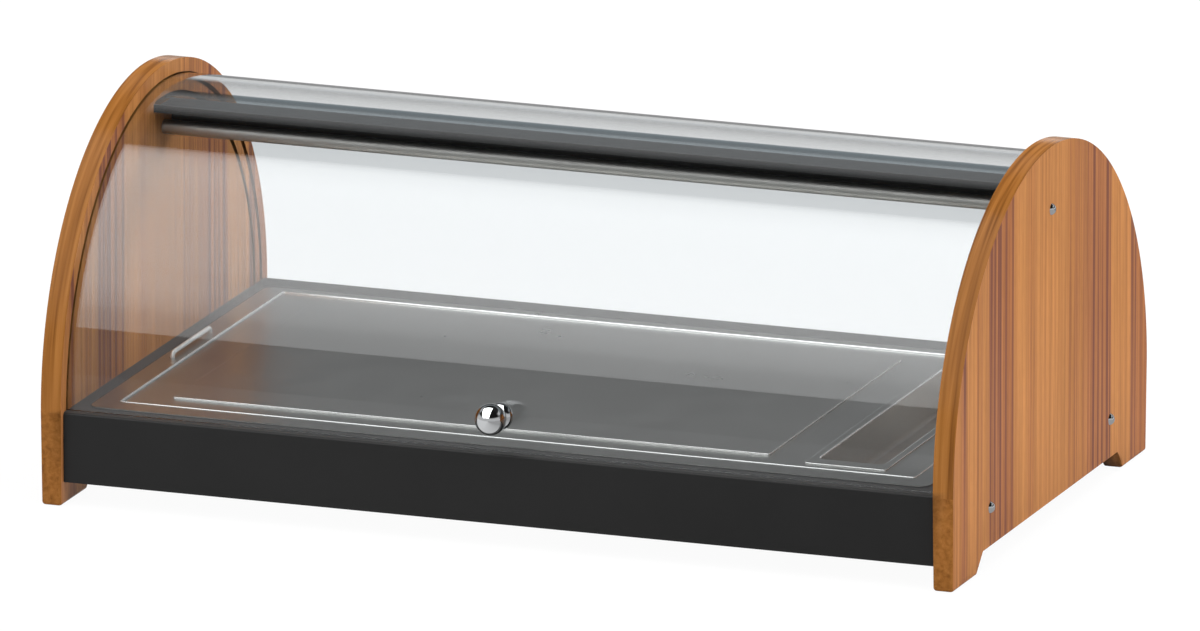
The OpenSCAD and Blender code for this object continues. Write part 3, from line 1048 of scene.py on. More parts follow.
@dataclass
class SidePanels:
    """The two arched side panels, grooved for the covers, with feet cut into their lower edge."""

    arch: Arch
    rail: RailSection
    edge: float = 4 * MM
    groove_depth: float = 7 * MM
    foot_height: float = 20 * MM
    foot_length: float = 60 * MM
    foot_slant: float = 12.5 * MM
    foot_corner: float = 3 * MM
    front_play: float = 0.8 * MM
    rear_play: float = 0.5 * MM
    socket_play: float = 0.3 * MM
    sheet: float = 4 * MM
    # The lipping reaches this far in from the rim, and cuts lie at least this far beyond the edge
    lipping_reach: float = 4.8 * MM
    cut_margin: float = 0.04 * MM
    arch_steps: int = 120
    groove_steps: int = 90

    def outline(self) -> list[FlatPoint]:
        """Draws the panel's outline, from the front foot over the arch to the rear one.

        Returns:
            The points in depth and height.
        """
        y, r = self.arch.y, self.arch.radius
        top = self.foot_height
        foot = r - self.foot_length
        notch = foot - self.foot_slant
        corner = self.foot_corner
        points = [(y - foot, 0.0), (y - r + corner, 0.0)]
        points += arc((y - r + corner, corner), corner, math.pi, math.pi * 1.5, 4)[1:]
        points += arc(self.arch.centre, r, -RIGHT_ANGLE, RIGHT_ANGLE, self.arch_steps)
        points += arc((y + r - corner, corner), corner, RIGHT_ANGLE, math.pi, 4)
        points += [(y + foot, 0.0), (y + notch, top), (y - notch, top)]
        return points

    def groove(self, side: Side, node: str, start: float, play: float) -> bpy.types.Object:
        """Makes the cutter of a groove that holds a cover.

        Args:
            side: which panel is cut.
            node: the cover's node in the frame.
            start: front end of the groove, as an angle from the top.
            play: clearance on each face of the cover.

        Returns:
            The cutter.
        """
        low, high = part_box(node)
        outer = max(self.arch.y - low.y, high.y - self.arch.y)
        inner = outer - self.sheet
        band = arc(self.arch.centre, outer + play, start, RIGHT_ANGLE, self.groove_steps)
        band += arc(self.arch.centre, inner - play, RIGHT_ANGLE, start, self.groove_steps)
        return prism("groove", band, *self.recess_span(side))

    def recess_span(self, side: Side) -> tuple[float, float]:
        """Finds where a cut in a panel's inner face starts and ends along X.

        Args:
            side: which panel is cut.

        Returns:
            Both ends of the cut, in rising order.
        """
        face = -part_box("left_panel")[1].x
        span = (face - CUT_OVERRUN, face + self.groove_depth)
        return span if side is Side.RIGHT else (-span[1], -span[0])

    def build(self, side: Side) -> bpy.types.Object:
        """Builds one panel.

        Args:
            side: which panel.

        Returns:
            The panel with its grooves and its rail socket.
        """
        low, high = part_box("left_panel")
        x0, x1 = (low.x, high.x) if side is Side.LEFT else (-high.x, -low.x)
        bm = bmesh.new()
        extrude_along_x(bm, self.outline(), x0, x1)
        round_edges(bm, at_ends, self.edge, 5)
        name = f"{side.name.lower()}_panel_board"
        board = make_object(name, bm)
        cover_low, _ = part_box("rear_cover")
        nose = math.asin((cover_low.y - self.arch.y) / self.rear_radius())
        cutters = [
            self.groove(side, "front_cover", -RIGHT_ANGLE, self.front_play),
            self.groove(side, "rear_cover", nose, self.rear_play),
            prism("socket", self.rail.outline(self.socket_play), *self.recess_span(side)),
        ]
        carve(board, cutters)
        return board

    def rear_radius(self) -> float:
        """Returns the outer radius of the rear cover."""
        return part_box("rear_cover")[1].y - self.arch.y

    def sort_faces(self, board: bpy.types.Object) -> None:
        """Sets each face's material: veneer, lipping on the arch, lipping on the feet, or a cut, darkened as
        painted shade.

        Args:
            board: the panel.
        """
        rim = self.arch.radius - self.lipping_reach
        for face in board.data.polygons:
            c = face.center
            out = math.hypot(c.y - self.arch.y, c.z - self.arch.z)
            on_rim = out > rim if c.z > self.arch.z else abs(c.y - self.arch.y) > rim
            if abs(face.normal.x) > SIDEWAYS_SHARE:
                face.material_index = PanelFace.ROUTED_SHADED if self.in_cut(c) else PanelFace.VENEER
            elif c.z > self.arch.z:
                face.material_index = PanelFace.LIPPING if on_rim else PanelFace.ROUTED_SHADED
            else:
                face.material_index = PanelFace.FOOT

    def in_cut(self, point: Vector) -> bool:
        """Tests whether a point lies deeper in the board than its two faces.

        Args:
            point: the middle of a face.

        Returns:
            True where it does.
        """
        low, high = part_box("left_panel")
        depth = min(abs(abs(point.x) + high.x), abs(abs(point.x) + low.x))
        return depth > self.edge + self.cut_margin

    def dress(self, finishes: Sequence[bpy.types.Material]) -> None:
        """Builds and finishes both panels.

        Args:
            finishes: veneer, lipping, foot lipping and routed wood darkened as painted shade.
        """
        for side in Side:
            board = self.build(side)
            self.sort_faces(board)
            dress(board, finishes, Body.HOUSING, [f"{side.name.lower()}_panel"])


@dataclass
class Covers:
    """The sliding front cover and the fixed rear one, bent from acrylic sheet."""

    arch: Arch
    sheet: float = 4 * MM
    edge: float = 0.5 * MM
    steps_per_degree: float = 1.0
    least_steps: int = 8

    def sheet_outline(self, outer: float, start: float, end: float) -> list[FlatPoint]:
        """Draws the section of a cover between two angles from the top.

        Args:
            outer: the cover's outer radius.
            start: its first angle.
            end: its last angle.

        Returns:
            The points in depth and height.
        """
        steps = max(self.least_steps, round(math.degrees(end - start) * self.steps_per_degree))
        points = arc(self.arch.centre, outer, start, end, steps)
        return points + arc(self.arch.centre, outer - self.sheet, end, start, steps)

    def build(self, name: str, node: str, outer: float, start: float, end: float) -> bpy.types.Object:
        """Builds a cover with polished edges.

        Args:
            name: the piece's name.
            node: the node that it stands for.
            outer: its outer radius.
            start: its first angle from the top.
            end: its last angle.

        Returns:
            The cover.
        """
        low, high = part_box(node)
        bm = bmesh.new()
        extrude_along_x(bm, self.sheet_outline(outer, start, end), low.x, high.x)
        bm.normal_update()
        round_edges(bm, is_square, self.edge, 2)
        return make_object(name, bm)

    def dress(self, acrylic: bpy.types.Material) -> None:
        """Builds and finishes both covers.

        Args:
            acrylic: the material of both.
        """
        low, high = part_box("front_cover")
        outer = self.arch.y - low.y
        foot = -math.acos((low.z - self.arch.z) / (outer - self.sheet))
        past = math.asin((high.y - self.arch.y) / outer)
        front = self.build("front_cover_sheet", "front_cover", outer, foot, past)
        dress(front, [acrylic], Body.COVER, ["front_cover"])
        low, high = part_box("rear_cover")
        outer = high.y - self.arch.y
        nose = math.asin((low.y - self.arch.y) / outer)
        foot = math.acos((low.z - self.arch.z) / (outer - self.sheet))
        rear = self.build("rear_cover_sheet", "rear_cover", outer, nose, foot)
        dress(rear, [acrylic], Body.HOUSING, ["rear_cover"])


@dataclass
class Knob:
    """The chromed ball knob of the front cover and the bell at its foot."""

    arch: Arch
    neck: float = 9 * MM
    neck_edge: float = 0.3 * MM
    neck_fillet: float = 2.5 * MM
    # The neck starts to swell at the first share of its height, and swells over the second
    swell_start_share: float = 0.45
    swell_length_share: float = 0.5
    seat_gap: float = 0.1 * MM
    bell_height: float = 7 * MM
    bell_wall: float = 1.2 * MM
    bell_play: float = 0.2 * MM
    bell_rim: float = 1.4 * MM
    bell_edge: float = 0.4 * MM
    steps: int = 64
    neck_steps: int = 6
    ball_steps: int = 40
    bell_steps: int = 12
    sharp: float = 50

    def axis(self) -> tuple[Matrix, float, float]:
        """Finds how the knob stands on the front cover.

        Returns:
            Its placing from the arch axis, its ball's radius and its ball's distance from that axis.
        """
        low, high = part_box("knob")
        ball = (high.x - low.x) / 2
        centre = Vector((0, low.y + ball, high.z - ball))
        origin = Vector((0, self.arch.y, self.arch.z))
        along = centre - origin
        placing = Matrix.Translation(origin) @ along.to_track_quat("Z", "X").to_matrix().to_4x4()
        return placing, ball, along.length

    def seat(self) -> float:
        """Returns how far from the arch axis the neck and the bell start, just off the front cover."""
        return self.arch.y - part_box("front_cover")[0].y + self.seat_gap

    def build_ball(self) -> bpy.types.Object:
        """Builds the ball with its neck, which swells softly into it.

        Returns:
            The ball and neck.
        """
        placing, ball, reach = self.axis()
        seat, neck, fillet = self.seat(), self.neck / 2, self.neck_fillet / 2
        join = math.asin((neck + fillet) / ball)
        throat = reach - ball * math.cos(join)
        foot = seat + self.neck_edge
        profile = [(0.0, seat), (neck - self.neck_edge, seat), (neck, foot)]
        for i in range(1, self.neck_steps):
            share = i / self.neck_steps
            rise = foot + (throat - seat) * (self.swell_start_share + self.swell_length_share * share)
            profile.append((neck + fillet * share**3, min(rise, throat)))
        for i in range(self.ball_steps):
            a = join + (math.pi - join) * i / self.ball_steps
            profile.append((ball * math.sin(a), reach - ball * math.cos(a)))
        profile.append((0.0, reach + ball))
        bm = bmesh.new()
        lathe(bm, profile, self.steps)
        bm.transform(placing)
        return make_object("knob_ball", bm, self.sharp)

    def build_bell(self) -> bpy.types.Object:
        """Builds the bell flange with its rolled rim.

        Returns:
            The bell.
        """
        placing, _, _ = self.axis()
        low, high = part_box("knob_flange")
        radius = (high.x - low.x) / 2
        seat, height, rim = self.seat(), self.bell_height, self.bell_rim
        bore = self.neck / 2 + self.bell_play
        top = bore + self.bell_wall
        swell = radius - top
        outer = [(radius - self.bell_edge, 0.0), (radius, self.bell_edge), (radius, rim)]
        for i in range(1, self.bell_steps + 1):
            a = RIGHT_ANGLE * i / self.bell_steps
            outer.append((top + swell * math.cos(a), rim + (height - rim) * math.sin(a)))
        section = [(bore, 0.0), *outer, (bore, height)]
        bm = bmesh.new()
        sweep_ring(bm, section, lambda r, h, a: (r * math.cos(a), r * math.sin(a), seat + h), self.steps)
        bm.transform(placing)
        return make_object("knob_bell", bm, self.sharp)

    def dress(self, chrome: bpy.types.Material) -> None:
        """Builds and finishes the knob and its bell."""
        dress(self.build_ball(), [chrome], Body.COVER, ["knob"])
        dress(self.build_bell(), [chrome], Body.COVER, ["knob_flange"])


@dataclass
class TopRail:
    """The black rail over the rear cover's nose and the steel tie bar below it."""

    section: RailSection
    edge: float = 0.4 * MM
    tube_wall: float = 1.5 * MM
    tube_edge: float = 0.3 * MM
    steps: int = 48

    def build_rail(self) -> bpy.types.Object:
        """Builds the folded rail.

        Returns:
            The rail.
        """
        low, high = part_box("top_rail")
        bm = bmesh.new()
        extrude_along_x(bm, self.section.outline(), low.x, high.x)
        bm.normal_update()
        round_edges(bm, is_square, self.edge, 3)
        return make_object("top_rail_profile", bm)

    def build_tube(self) -> bpy.types.Object:
        """Builds the tie bar as a tube along X.

        Returns:
            The tube.
        """
        low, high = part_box("tie_bar")
        outer = (high.z - low.z) / 2
        inner = outer - self.tube_wall
        half = (high.x - low.x) / 2
        edge = self.tube_edge
        section = [
            (inner, -half), (outer - edge, -half), (outer, -half + edge),
            (outer, half - edge), (outer - edge, half), (inner, half),
        ]
        y, z = (low.y + high.y) / 2, (low.z + high.z) / 2
        bm = bmesh.new()
        sweep_ring(bm, section, lambda r, x, a: (x, y + r * math.sin(a), z + r * math.cos(a)), self.steps)
        return make_object("tie_bar_tube", bm)

    def dress(self, anodised: bpy.types.Material, brushed: bpy.types.Material) -> None:
        """Builds and finishes the rail and the tie bar."""
        dress(self.build_rail(), [anodised], Body.HOUSING, ["top_rail"])
        dress(self.build_tube(), [brushed], Body.HOUSING, ["tie_bar"])


@dataclass
class PanelScrews:
    """The domed screws that hold the tie bar and the base between the panels."""

    head_width: float = 10 * MM
    head_height: float = 3.6 * MM
    shank: float = 6 * MM
    head_edge: float = 0.2 * MM
    tip: float = 0.8 * MM
    plain_shank: float = 1 * MM
    thread_pitch: float = 1 * MM
    thread_depth: float = 0.25 * MM
    tie_length: float = 40 * MM
    dome_steps: int = 12
    steps: int = 40

    def profile(self, length: float) -> list[FlatPoint]:
        """Draws a screw's profile along its axis, from the shank's end to the top of the dome.

        Args:
            length: the shank's length.

        Returns:
            Radius and height of each point.
        """
        radius = self.head_width / 2
        dome = (radius**2 + self.head_height**2) / (2 * self.head_height)
        points = [(0.0, -length), (self.shank / 2 - self.tip, -length)]
        threads = int((length - self.plain_shank) / self.thread_pitch)
        for i in range(threads):
            z = -length + self.tip + i * self.thread_pitch
            points.append((self.shank / 2 - self.thread_depth, z))
            points.append((self.shank / 2, z + self.thread_pitch / 2))
        points += [(self.shank / 2, 0.0), (radius - self.head_edge, 0.0)]
        edge = math.asin(radius / dome)
        for i in range(self.dome_steps + 1):
            a = edge * (1 - i / self.dome_steps)
            points.append((dome * math.sin(a), self.head_height - dome + dome * math.cos(a)))
        return points

    def build(self, name: str, node: str, places: Sequence[tuple[float, float, Side]]) -> bpy.types.Object:
        """Builds a set of screws as one piece.

        Args:
            name: the piece's name.
            node: the node that it stands for.
            places: depth, height and side of each screw's head.

        Returns:
            The screws.
        """
        low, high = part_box(node)
        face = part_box("left_panel")[0].x
        if node == "tie_bar_screws":
            length = self.tie_length
        elif node == "base_screws_left":
            length = high.x - face
        else:
            length = -face - low.x
        bm = bmesh.new()
        for y, z, side in places:
            start = len(bm.verts)
            lathe(bm, self.profile(length), self.steps)
            bm.verts.ensure_lookup_table()
            turn = Matrix.Rotation(side.value * RIGHT_ANGLE, 4, "Y")
            placing = Matrix.Translation((-side.value * face, y, z)) @ turn
            bmesh.ops.transform(bm, matrix=placing, verts=bm.verts[start:])
        return make_object(name, bm)

    def dress(self, chrome: bpy.types.Material) -> None:
        """Builds and finishes all six screws.

        Args:
            chrome: the material of all six.
        """
        low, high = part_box("tie_bar_screws")
        y, z = (low.y + high.y) / 2, (low.z + high.z) / 2
        tie = self.build("tie_bar_dome_screws", "tie_bar_screws", [(y, z, s) for s in Side])
        dress(tie, [chrome], Body.HOUSING, ["tie_bar_screws"])
        for side in Side:
            node = f"base_screws_{side.name.lower()}"
            low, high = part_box(node)
            ends = (low.y + self.head_width / 2, high.y - self.head_width / 2)
            z = (low.z + high.z) / 2
            screws = self.build(f"{node}_domes", node, [(end, z, side) for end in ends])
            dress(screws, [chrome], Body.HOUSING, [node])


@dataclass
class Base:
    """The moulded black base with the opening for its insulated well."""

    arch: Arch
    wall: float = 3 * MM
    deck: float = 3 * MM
    edge: float = 2 * MM
    small_edge: float = 0.6 * MM
    inside_corner: float = 2 * MM
    boss: float = 10 * MM
    boss_inset: float = 7 * MM
    boss_hole: float = 3.7 * MM
    hole_depth: float = 14 * MM
    flange: float = 1 * MM
    play: float = 0.5 * MM
    liner_corner: float = 5.3 * MM
    liner_rim: float = 8 * MM
    boss_steps: int = 24

    def shell_outline(self) -> list[FlatPoint]:
        """Draws the section of the casing.

        Returns:
            The points in depth and height.
        """
        low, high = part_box("base_casing")
        e = self.edge
        points = [(high.y, low.z), (low.y, low.z)]
        points += arc((low.y + e, high.z - e), e, -RIGHT_ANGLE, 0, 8)
        points += arc((high.y - e, high.z - e), e, 0, RIGHT_ANGLE, 8)
        return points

    def build_casing(self) -> bpy.types.Object:
        """Builds the casing: a shell open below, with the well's opening in its deck.

        Returns:
            The casing.
        """
        low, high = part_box("base_casing")
        bm = bmesh.new()
        extrude_along_x(bm, self.shell_outline(), low.x, high.x)
        round_edges(bm, at_ends, self.small_edge, 2)
        casing = make_object("base_shell", bm)
        width, depth = high.x - low.x - 2 * self.wall, high.y - low.y - 2 * self.wall
        inside = RoundRect(0, self.arch.y, width, depth, self.inside_corner)
        liner_low, liner_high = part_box("inner_liner")
        y = (liner_low.y + liner_high.y) / 2
        width, depth = liner_high.x - liner_low.x, liner_high.y - liner_low.y
        seat = RoundRect(0, y, width, depth, self.liner_corner).inset(-self.play)
        opening = seat.inset(self.liner_rim)
        carve(
            casing,
            [
                well("cavity", inside, low.z - CUT_OVERRUN, high.z - self.deck),
                well("opening", opening, low.z, high.z + CUT_OVERRUN),
                well("seat", seat, high.z - self.flange, high.z + CUT_OVERRUN),
            ],
        )
        self.add_bosses(casing, inside)
        return casing

    def add_bosses(self, casing: bpy.types.Object, inside: RoundRect) -> None:
        """Joins the six screw bosses to the casing, each with its blind hole.

        Args:
            casing: the casing.
            inside: the outline of the room inside it.
        """
        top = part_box("base_casing")[1].z - self.deck
        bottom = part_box("insulation_tub")[0].z
        end = bottom + self.hole_depth
        radius, hole = self.boss / 2, self.boss_hole / 2
        profile = [(0.0, end), (hole, end), (hole, bottom), (radius, bottom), (radius, top), (0.0, top)]
        bm = bmesh.new()
        bm.from_mesh(casing.data)
        for sx in (-1, 1):
            for sy in (-1, 0, 1):
                start = len(bm.verts)
                lathe(bm, profile, self.boss_steps)
                bm.verts.ensure_lookup_table()
                x = sx * (inside.width / 2 - self.boss_inset)
                y = inside.y + sy * (inside.depth / 2 - self.boss_inset)
                bmesh.ops.translate(bm, vec=(x, y, 0), verts=bm.verts[start:])
        bm.to_mesh(casing.data)
        bm.free()
        smooth(casing)

    def dress(self, plastic: bpy.types.Material) -> None:
        """Builds and finishes the casing."""
        dress(self.build_casing(), [plastic], Body.HOUSING, ["base_casing"])


@dataclass
class Tray:
    """The lift-out tray with its recess, its wire handles, the serving plate and the trough."""

    sheet: float = 1.2 * MM
    bend: float = 0.35 * MM
    corner: float = 10 * MM
    recess_corner: float = 1.6 * MM
    bead: float = 0.7 * MM
    bead_rise: float = 0.6 * MM
    cut_edge_margin: float = 5 * MM
    bead_steps: int = 8
    recess_depth: float = 1.5 * MM
    rim_side: float = 21 * MM
    rim_front: float = 24.5 * MM
    rim_rear: float = 14.5 * MM
    trough_sheet: float = 1 * MM
    trough_corner: float = 6 * MM
    trough_flange_corner: float = 2 * MM
    trough_strip_side: float = 7.5 * MM
    trough_strip_end: float = 15.5 * MM
    trough_bottom_bend: float = 4 * MM
    trough_lip: float = 1.2 * MM
    trough_top_margin: float = 0.3 * MM
    plate_corner: float = 1.6 * MM
    plate_bend: float = 0.35 * MM
    plate_foot: float = 0.3 * MM
    wire: float = 4 * MM
    wire_bend: float = 4 * MM
    wire_steps: int = 20
    wire_sharp: float = 40
    play: float = 0.5 * MM

    def rect(self, node: str, corner: float) -> RoundRect:
        """Draws the outline of a node's box.

        Args:
            node: the node.
            corner: the radius of its corners.

        Returns:
            The outline.
        """
        low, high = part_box(node)
        x, y = (low.x + high.x) / 2, (low.y + high.y) / 2
        return RoundRect(x, y, high.x - low.x, high.y - low.y, corner)

    def recess(self) -> RoundRect:
        """Draws the outline of the tray's recess.

        Returns:
            The outline.
        """
        low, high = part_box("tray")
        y0, y1 = low.y + self.rim_front, high.y - self.rim_rear
        width = high.x - low.x - 2 * self.rim_side
        return RoundRect(0, (y0 + y1) / 2, width, y1 - y0, self.recess_corner)

    def trough_hole(self) -> RoundRect:
        """Draws the outline of the trough's body below its flange.

        Returns:
            The outline.
        """
        flange = self.rect("utensil_trough", 0)
        width = flange.width - 2 * self.trough_strip_side + 2 * self.trough_sheet
        depth = flange.depth - 2 * self.trough_strip_end + 2 * self.trough_sheet
        return RoundRect(flange.x, flange.y, width, depth, self.trough_corner + self.trough_sheet)

    def build_sheet(self) -> bpy.types.Object:
        """Builds the tray: a flat rim, a pressed step and the recess, with the trough's opening.

        Returns:
            The tray.
        """
        low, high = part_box("tray")
        outer, recess = self.rect("tray", self.corner), self.recess()
        pan = recess.inset(-self.sheet)
        top, floor = high.z, high.z - self.recess_depth
        under, edge, bend = high.z - self.sheet, self.sheet / 2, self.bend
        loops = [pan.inset(bend).loop(low.z)]
        loops += pan.bend(bend, low.z + bend, fold(bend, -RIGHT_ANGLE, 0))
        loops += [pan.loop(under), outer.inset(edge).loop(under)]
        loops += outer.bend(edge, under + edge, fold(edge, -RIGHT_ANGLE, RIGHT_ANGLE, 8))
        for i in range(self.bead_steps):
            share = 1 - i / self.bead_steps
            rise = self.bead_rise * math.sin(math.pi * share)
            loops.append(recess.inset(-bend - 2 * self.bead * share).loop(top + rise))
        loops += recess.bend(bend, top - bend, reversed(fold(bend, 0, RIGHT_ANGLE)), way=-1)
        foot = min(bend, self.recess_depth - bend)
        loops += recess.bend(foot, floor + foot, reversed(fold(foot, -RIGHT_ANGLE, 0)))
        bm = bmesh.new()
        loft(bm, loops)
        tray = make_object("tray_sheet", bm)
        carve(tray, [well("opening", self.trough_hole().inset(-self.play), low.z - CUT_OVERRUN, high.z)])
        self.buff_and_highlight_edges(tray, under)
        self.shear_edges(tray)
        return tray

    def shear_edges(self, tray: bpy.types.Object) -> None:
        """Gives the tray's outer edge, beyond the recess and its bead, the look of sheared steel.

        Args:
            tray: the tray.
        """
        inside = self.recess().inset(-self.cut_edge_margin)
        for face in tray.data.polygons:
            beyond_x = abs(face.center.x - inside.x) > inside.width / 2
            beyond_y = abs(face.center.y - inside.y) > inside.depth / 2
            if (beyond_x or beyond_y) and abs(face.normal.z) < LEVEL_SHARE:
                face.material_index = TrayFace.SHEARED

    def buff_and_highlight_edges(self, piece: bpy.types.Object, above: float) -> None:
        """Gives the bent edges of a piece a paler buffed steel, which paints a highlight line along them.

        Args:
            piece: the tray, the plate or the trough.
            above: the height that they lie above.
        """
        for face in piece.data.polygons:
            if face.center.z > above and face.normal.z < LEVEL_SHARE:
                face.material_index = TrayFace.BUFFED

    def build_handle(self, side: Side) -> bpy.types.Object:
        """Builds one wire handle, bent down to the tray at both ends.

        Args:
            side: which handle.

        Returns:
            The handle.
        """
        low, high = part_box(f"tray_handle_{side.name.lower()}")
        x, r = (low.x + high.x) / 2, self.wire / 2
        y0, y1 = low.y + r, high.y - r
        z1, bend = high.z - r, self.wire_bend
        path = [(y0, low.z), (y0, z1 - bend)]
        path += arc((y0 + bend, z1 - bend), bend, -RIGHT_ANGLE, 0, 8)[1:]
        path += arc((y1 - bend, z1 - bend), bend, 0, RIGHT_ANGLE, 8)
        path += [(y1, low.z)]
        turns = [ROUND * k / self.wire_steps for k in range(self.wire_steps)]
        ring = [(r * math.cos(t), r * math.sin(t)) for t in turns]
        loops = []
        for i, (y, z) in enumerate(path):
            before, after = path[max(i - 1, 0)], path[min(i + 1, len(path) - 1)]
            along = Vector((after[0] - before[0], after[1] - before[1])).normalized()
            loops.append([(x + side_step, y - out * along.y, z + out * along.x) for side_step, out in ring])
        bm = bmesh.new()
        loft(bm, loops)
        return make_object(f"handle_wire_{side.name.lower()}", bm, self.wire_sharp)

    def build_plate(self) -> bpy.types.Object:
        """Builds the serving plate, a slab with softly rounded upper edges.

        Returns:
            The plate.
        """
        low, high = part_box("serving_plate")
        rect, bend, foot = self.rect("serving_plate", self.plate_corner), self.plate_bend, self.plate_foot
        loops = rect.bend(foot, low.z + foot, fold(foot, -RIGHT_ANGLE, 0, 2))
        loops += rect.bend(bend, high.z - bend, fold(bend, 0, RIGHT_ANGLE))
        bm = bmesh.new()
        loft(bm, loops)
        plate = make_object("serving_plate_slab", bm)
        self.buff_and_highlight_edges(plate, low.z)
        return plate

    def build_trough(self) -> bpy.types.Object:
        """Builds the deep drawn trough with its flange.

        Returns:
            The trough.
        """
        low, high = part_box("utensil_trough")
        flange = self.rect("utensil_trough", self.trough_flange_corner)
        body, sheet = self.trough_hole(), self.trough_sheet
        opening = body.inset(sheet)
        under, top, floor = high.z - sheet, high.z, low.z + sheet
        bend, edge, lip = self.trough_bottom_bend, sheet / 2, self.trough_lip
        outer_bend = bend + sheet
        loops = [body.inset(outer_bend).loop(low.z)]
        loops += body.bend(outer_bend, low.z + bend + sheet, fold(outer_bend, -RIGHT_ANGLE, 0, 6))
        loops += [body.loop(under), flange.inset(edge).loop(under)]
        loops += flange.bend(edge, under + edge, fold(edge, -RIGHT_ANGLE, RIGHT_ANGLE, 8))
        loops += opening.bend(lip, top - lip, reversed(fold(lip, 0, RIGHT_ANGLE)), way=-1)
        loops += opening.bend(bend, floor + bend, reversed(fold(bend, -RIGHT_ANGLE, 0, 6)))
        bm = bmesh.new()
        loft(bm, loops)
        trough = make_object("utensil_trough_pan", bm)
        for face in trough.data.polygons:
            within_x = abs(face.center.x - opening.x) < opening.width / 2 + lip
            within_y = abs(face.center.y - opening.y) < opening.depth / 2 + lip
            sunk = face.center.z < top - self.trough_top_margin
            if within_x and within_y and sunk:
                face.material_index = TroughFace.BRUSHED
        self.buff_and_highlight_edges(trough, top - lip)
        return trough

    def dress(
        self,
        satin: bpy.types.Material,
        buffed_highlight: bpy.types.Material,
        brushed: bpy.types.Material,
        sheared: bpy.types.Material,
        drawn: bpy.types.Material,
    ) -> None:
        """Builds and finishes the tray and what lies on it.

        Args:
            satin: the steel of the tray, of the plate and of the trough's outside.
            buffed_highlight: the steel of their bent edges, buffed and made paler as a painted highlight.
            brushed: the steel inside the trough.
            sheared: the steel of the tray's cut edge.
            drawn: the steel of the wires.
        """
        dress(self.build_sheet(), [satin, buffed_highlight, sheared], Body.TRAY, ["tray"])
        for side in Side:
            node = f"tray_handle_{side.name.lower()}"
            dress(self.build_handle(side), [drawn], Body.TRAY, [node])
        dress(self.build_plate(), [satin, buffed_highlight], Body.PLATE, ["serving_plate"])
        trough = self.build_trough()
        dress(trough, [satin, buffed_highlight, brushed], Body.TROUGH, ["utensil_trough"])


@dataclass
class InnerParts:
    """Pieces that the frame already shapes well: they keep their meshes and get their finishes."""

    finishes: dict[str, bpy.types.Material]

    def dress(self) -> None:
        """Gives each remaining node its finish."""
        for node, material in self.finishes.items():
            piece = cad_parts[node]
            piece.data.materials.clear()
            piece.data.materials.append(material)
            log.info("%s: keeps its mesh, %s", node, material.name)


# Studio


@dataclass
class Softbox:
    """A flat lamp, seen in reflections but not by the camera, whose brightness varies along its height."""

    name: str
    centre: Point
    width: float
    height: float
    tilt: float
    turn: float
    radiance: float
    profile: tuple[FlatPoint, ...] = ((0.0, 1.0), (1.0, 1.0))
    mirrored: bool = True
    lights: bool = True

    def build(self, hidden: Callable[[bpy.types.NodeTree], bpy.types.NodeSocket]) -> None:
        """Hangs the lamp so that it faces along its tilt and turn.

        Args:
            hidden: adds nodes that say 1 for the rays that must not see the lamp.
        """
        lamp = bpy.data.lights.new(self.name, "AREA")
        lamp.shape = "RECTANGLE"
        lamp.size, lamp.size_y = self.width, self.height
        # One watt gives a lamp of a quarter of a square metre a radiance of 1
        lamp.energy = 4 * self.radiance * self.width * self.height
        lamp.use_nodes = True
        tree = lamp.node_tree
        tree.nodes.clear()
        place = add_node(tree, "ShaderNodeNewGeometry").outputs["Parametric"]
        rise = add_node(tree, "ShaderNodeSeparateXYZ", {}, {0: place}).outputs["Y"]
        cloth = add_node(tree, "ShaderNodeValToRGB", {"stops": grey_stops(self.profile)}, {"Fac": rise})
        shown = add_node(tree, "ShaderNodeMath", {"operation": "SUBTRACT", 0: 1.0}, {1: hidden(tree)})
        glow = add_node(
            tree, "ShaderNodeEmission", {}, {"Color": cloth.outputs[0], "Strength": shown.outputs[0]}
        )
        output = add_node(tree, "ShaderNodeOutputLight", {}, {0: glow.outputs[0]})
        output.is_active_output = True
        hung = bpy.data.objects.new(self.name, lamp)
        hung.location = self.centre
        hung.rotation_euler = (self.tilt, 0.0, self.turn)
        hung.visible_camera = False
        hung.visible_glossy = self.mirrored
        hung.visible_diffuse = self.lights
        hung.visible_transmission = self.mirrored
        bpy.context.scene.collection.objects.link(hung)
        log.info("%s hung", self.name)


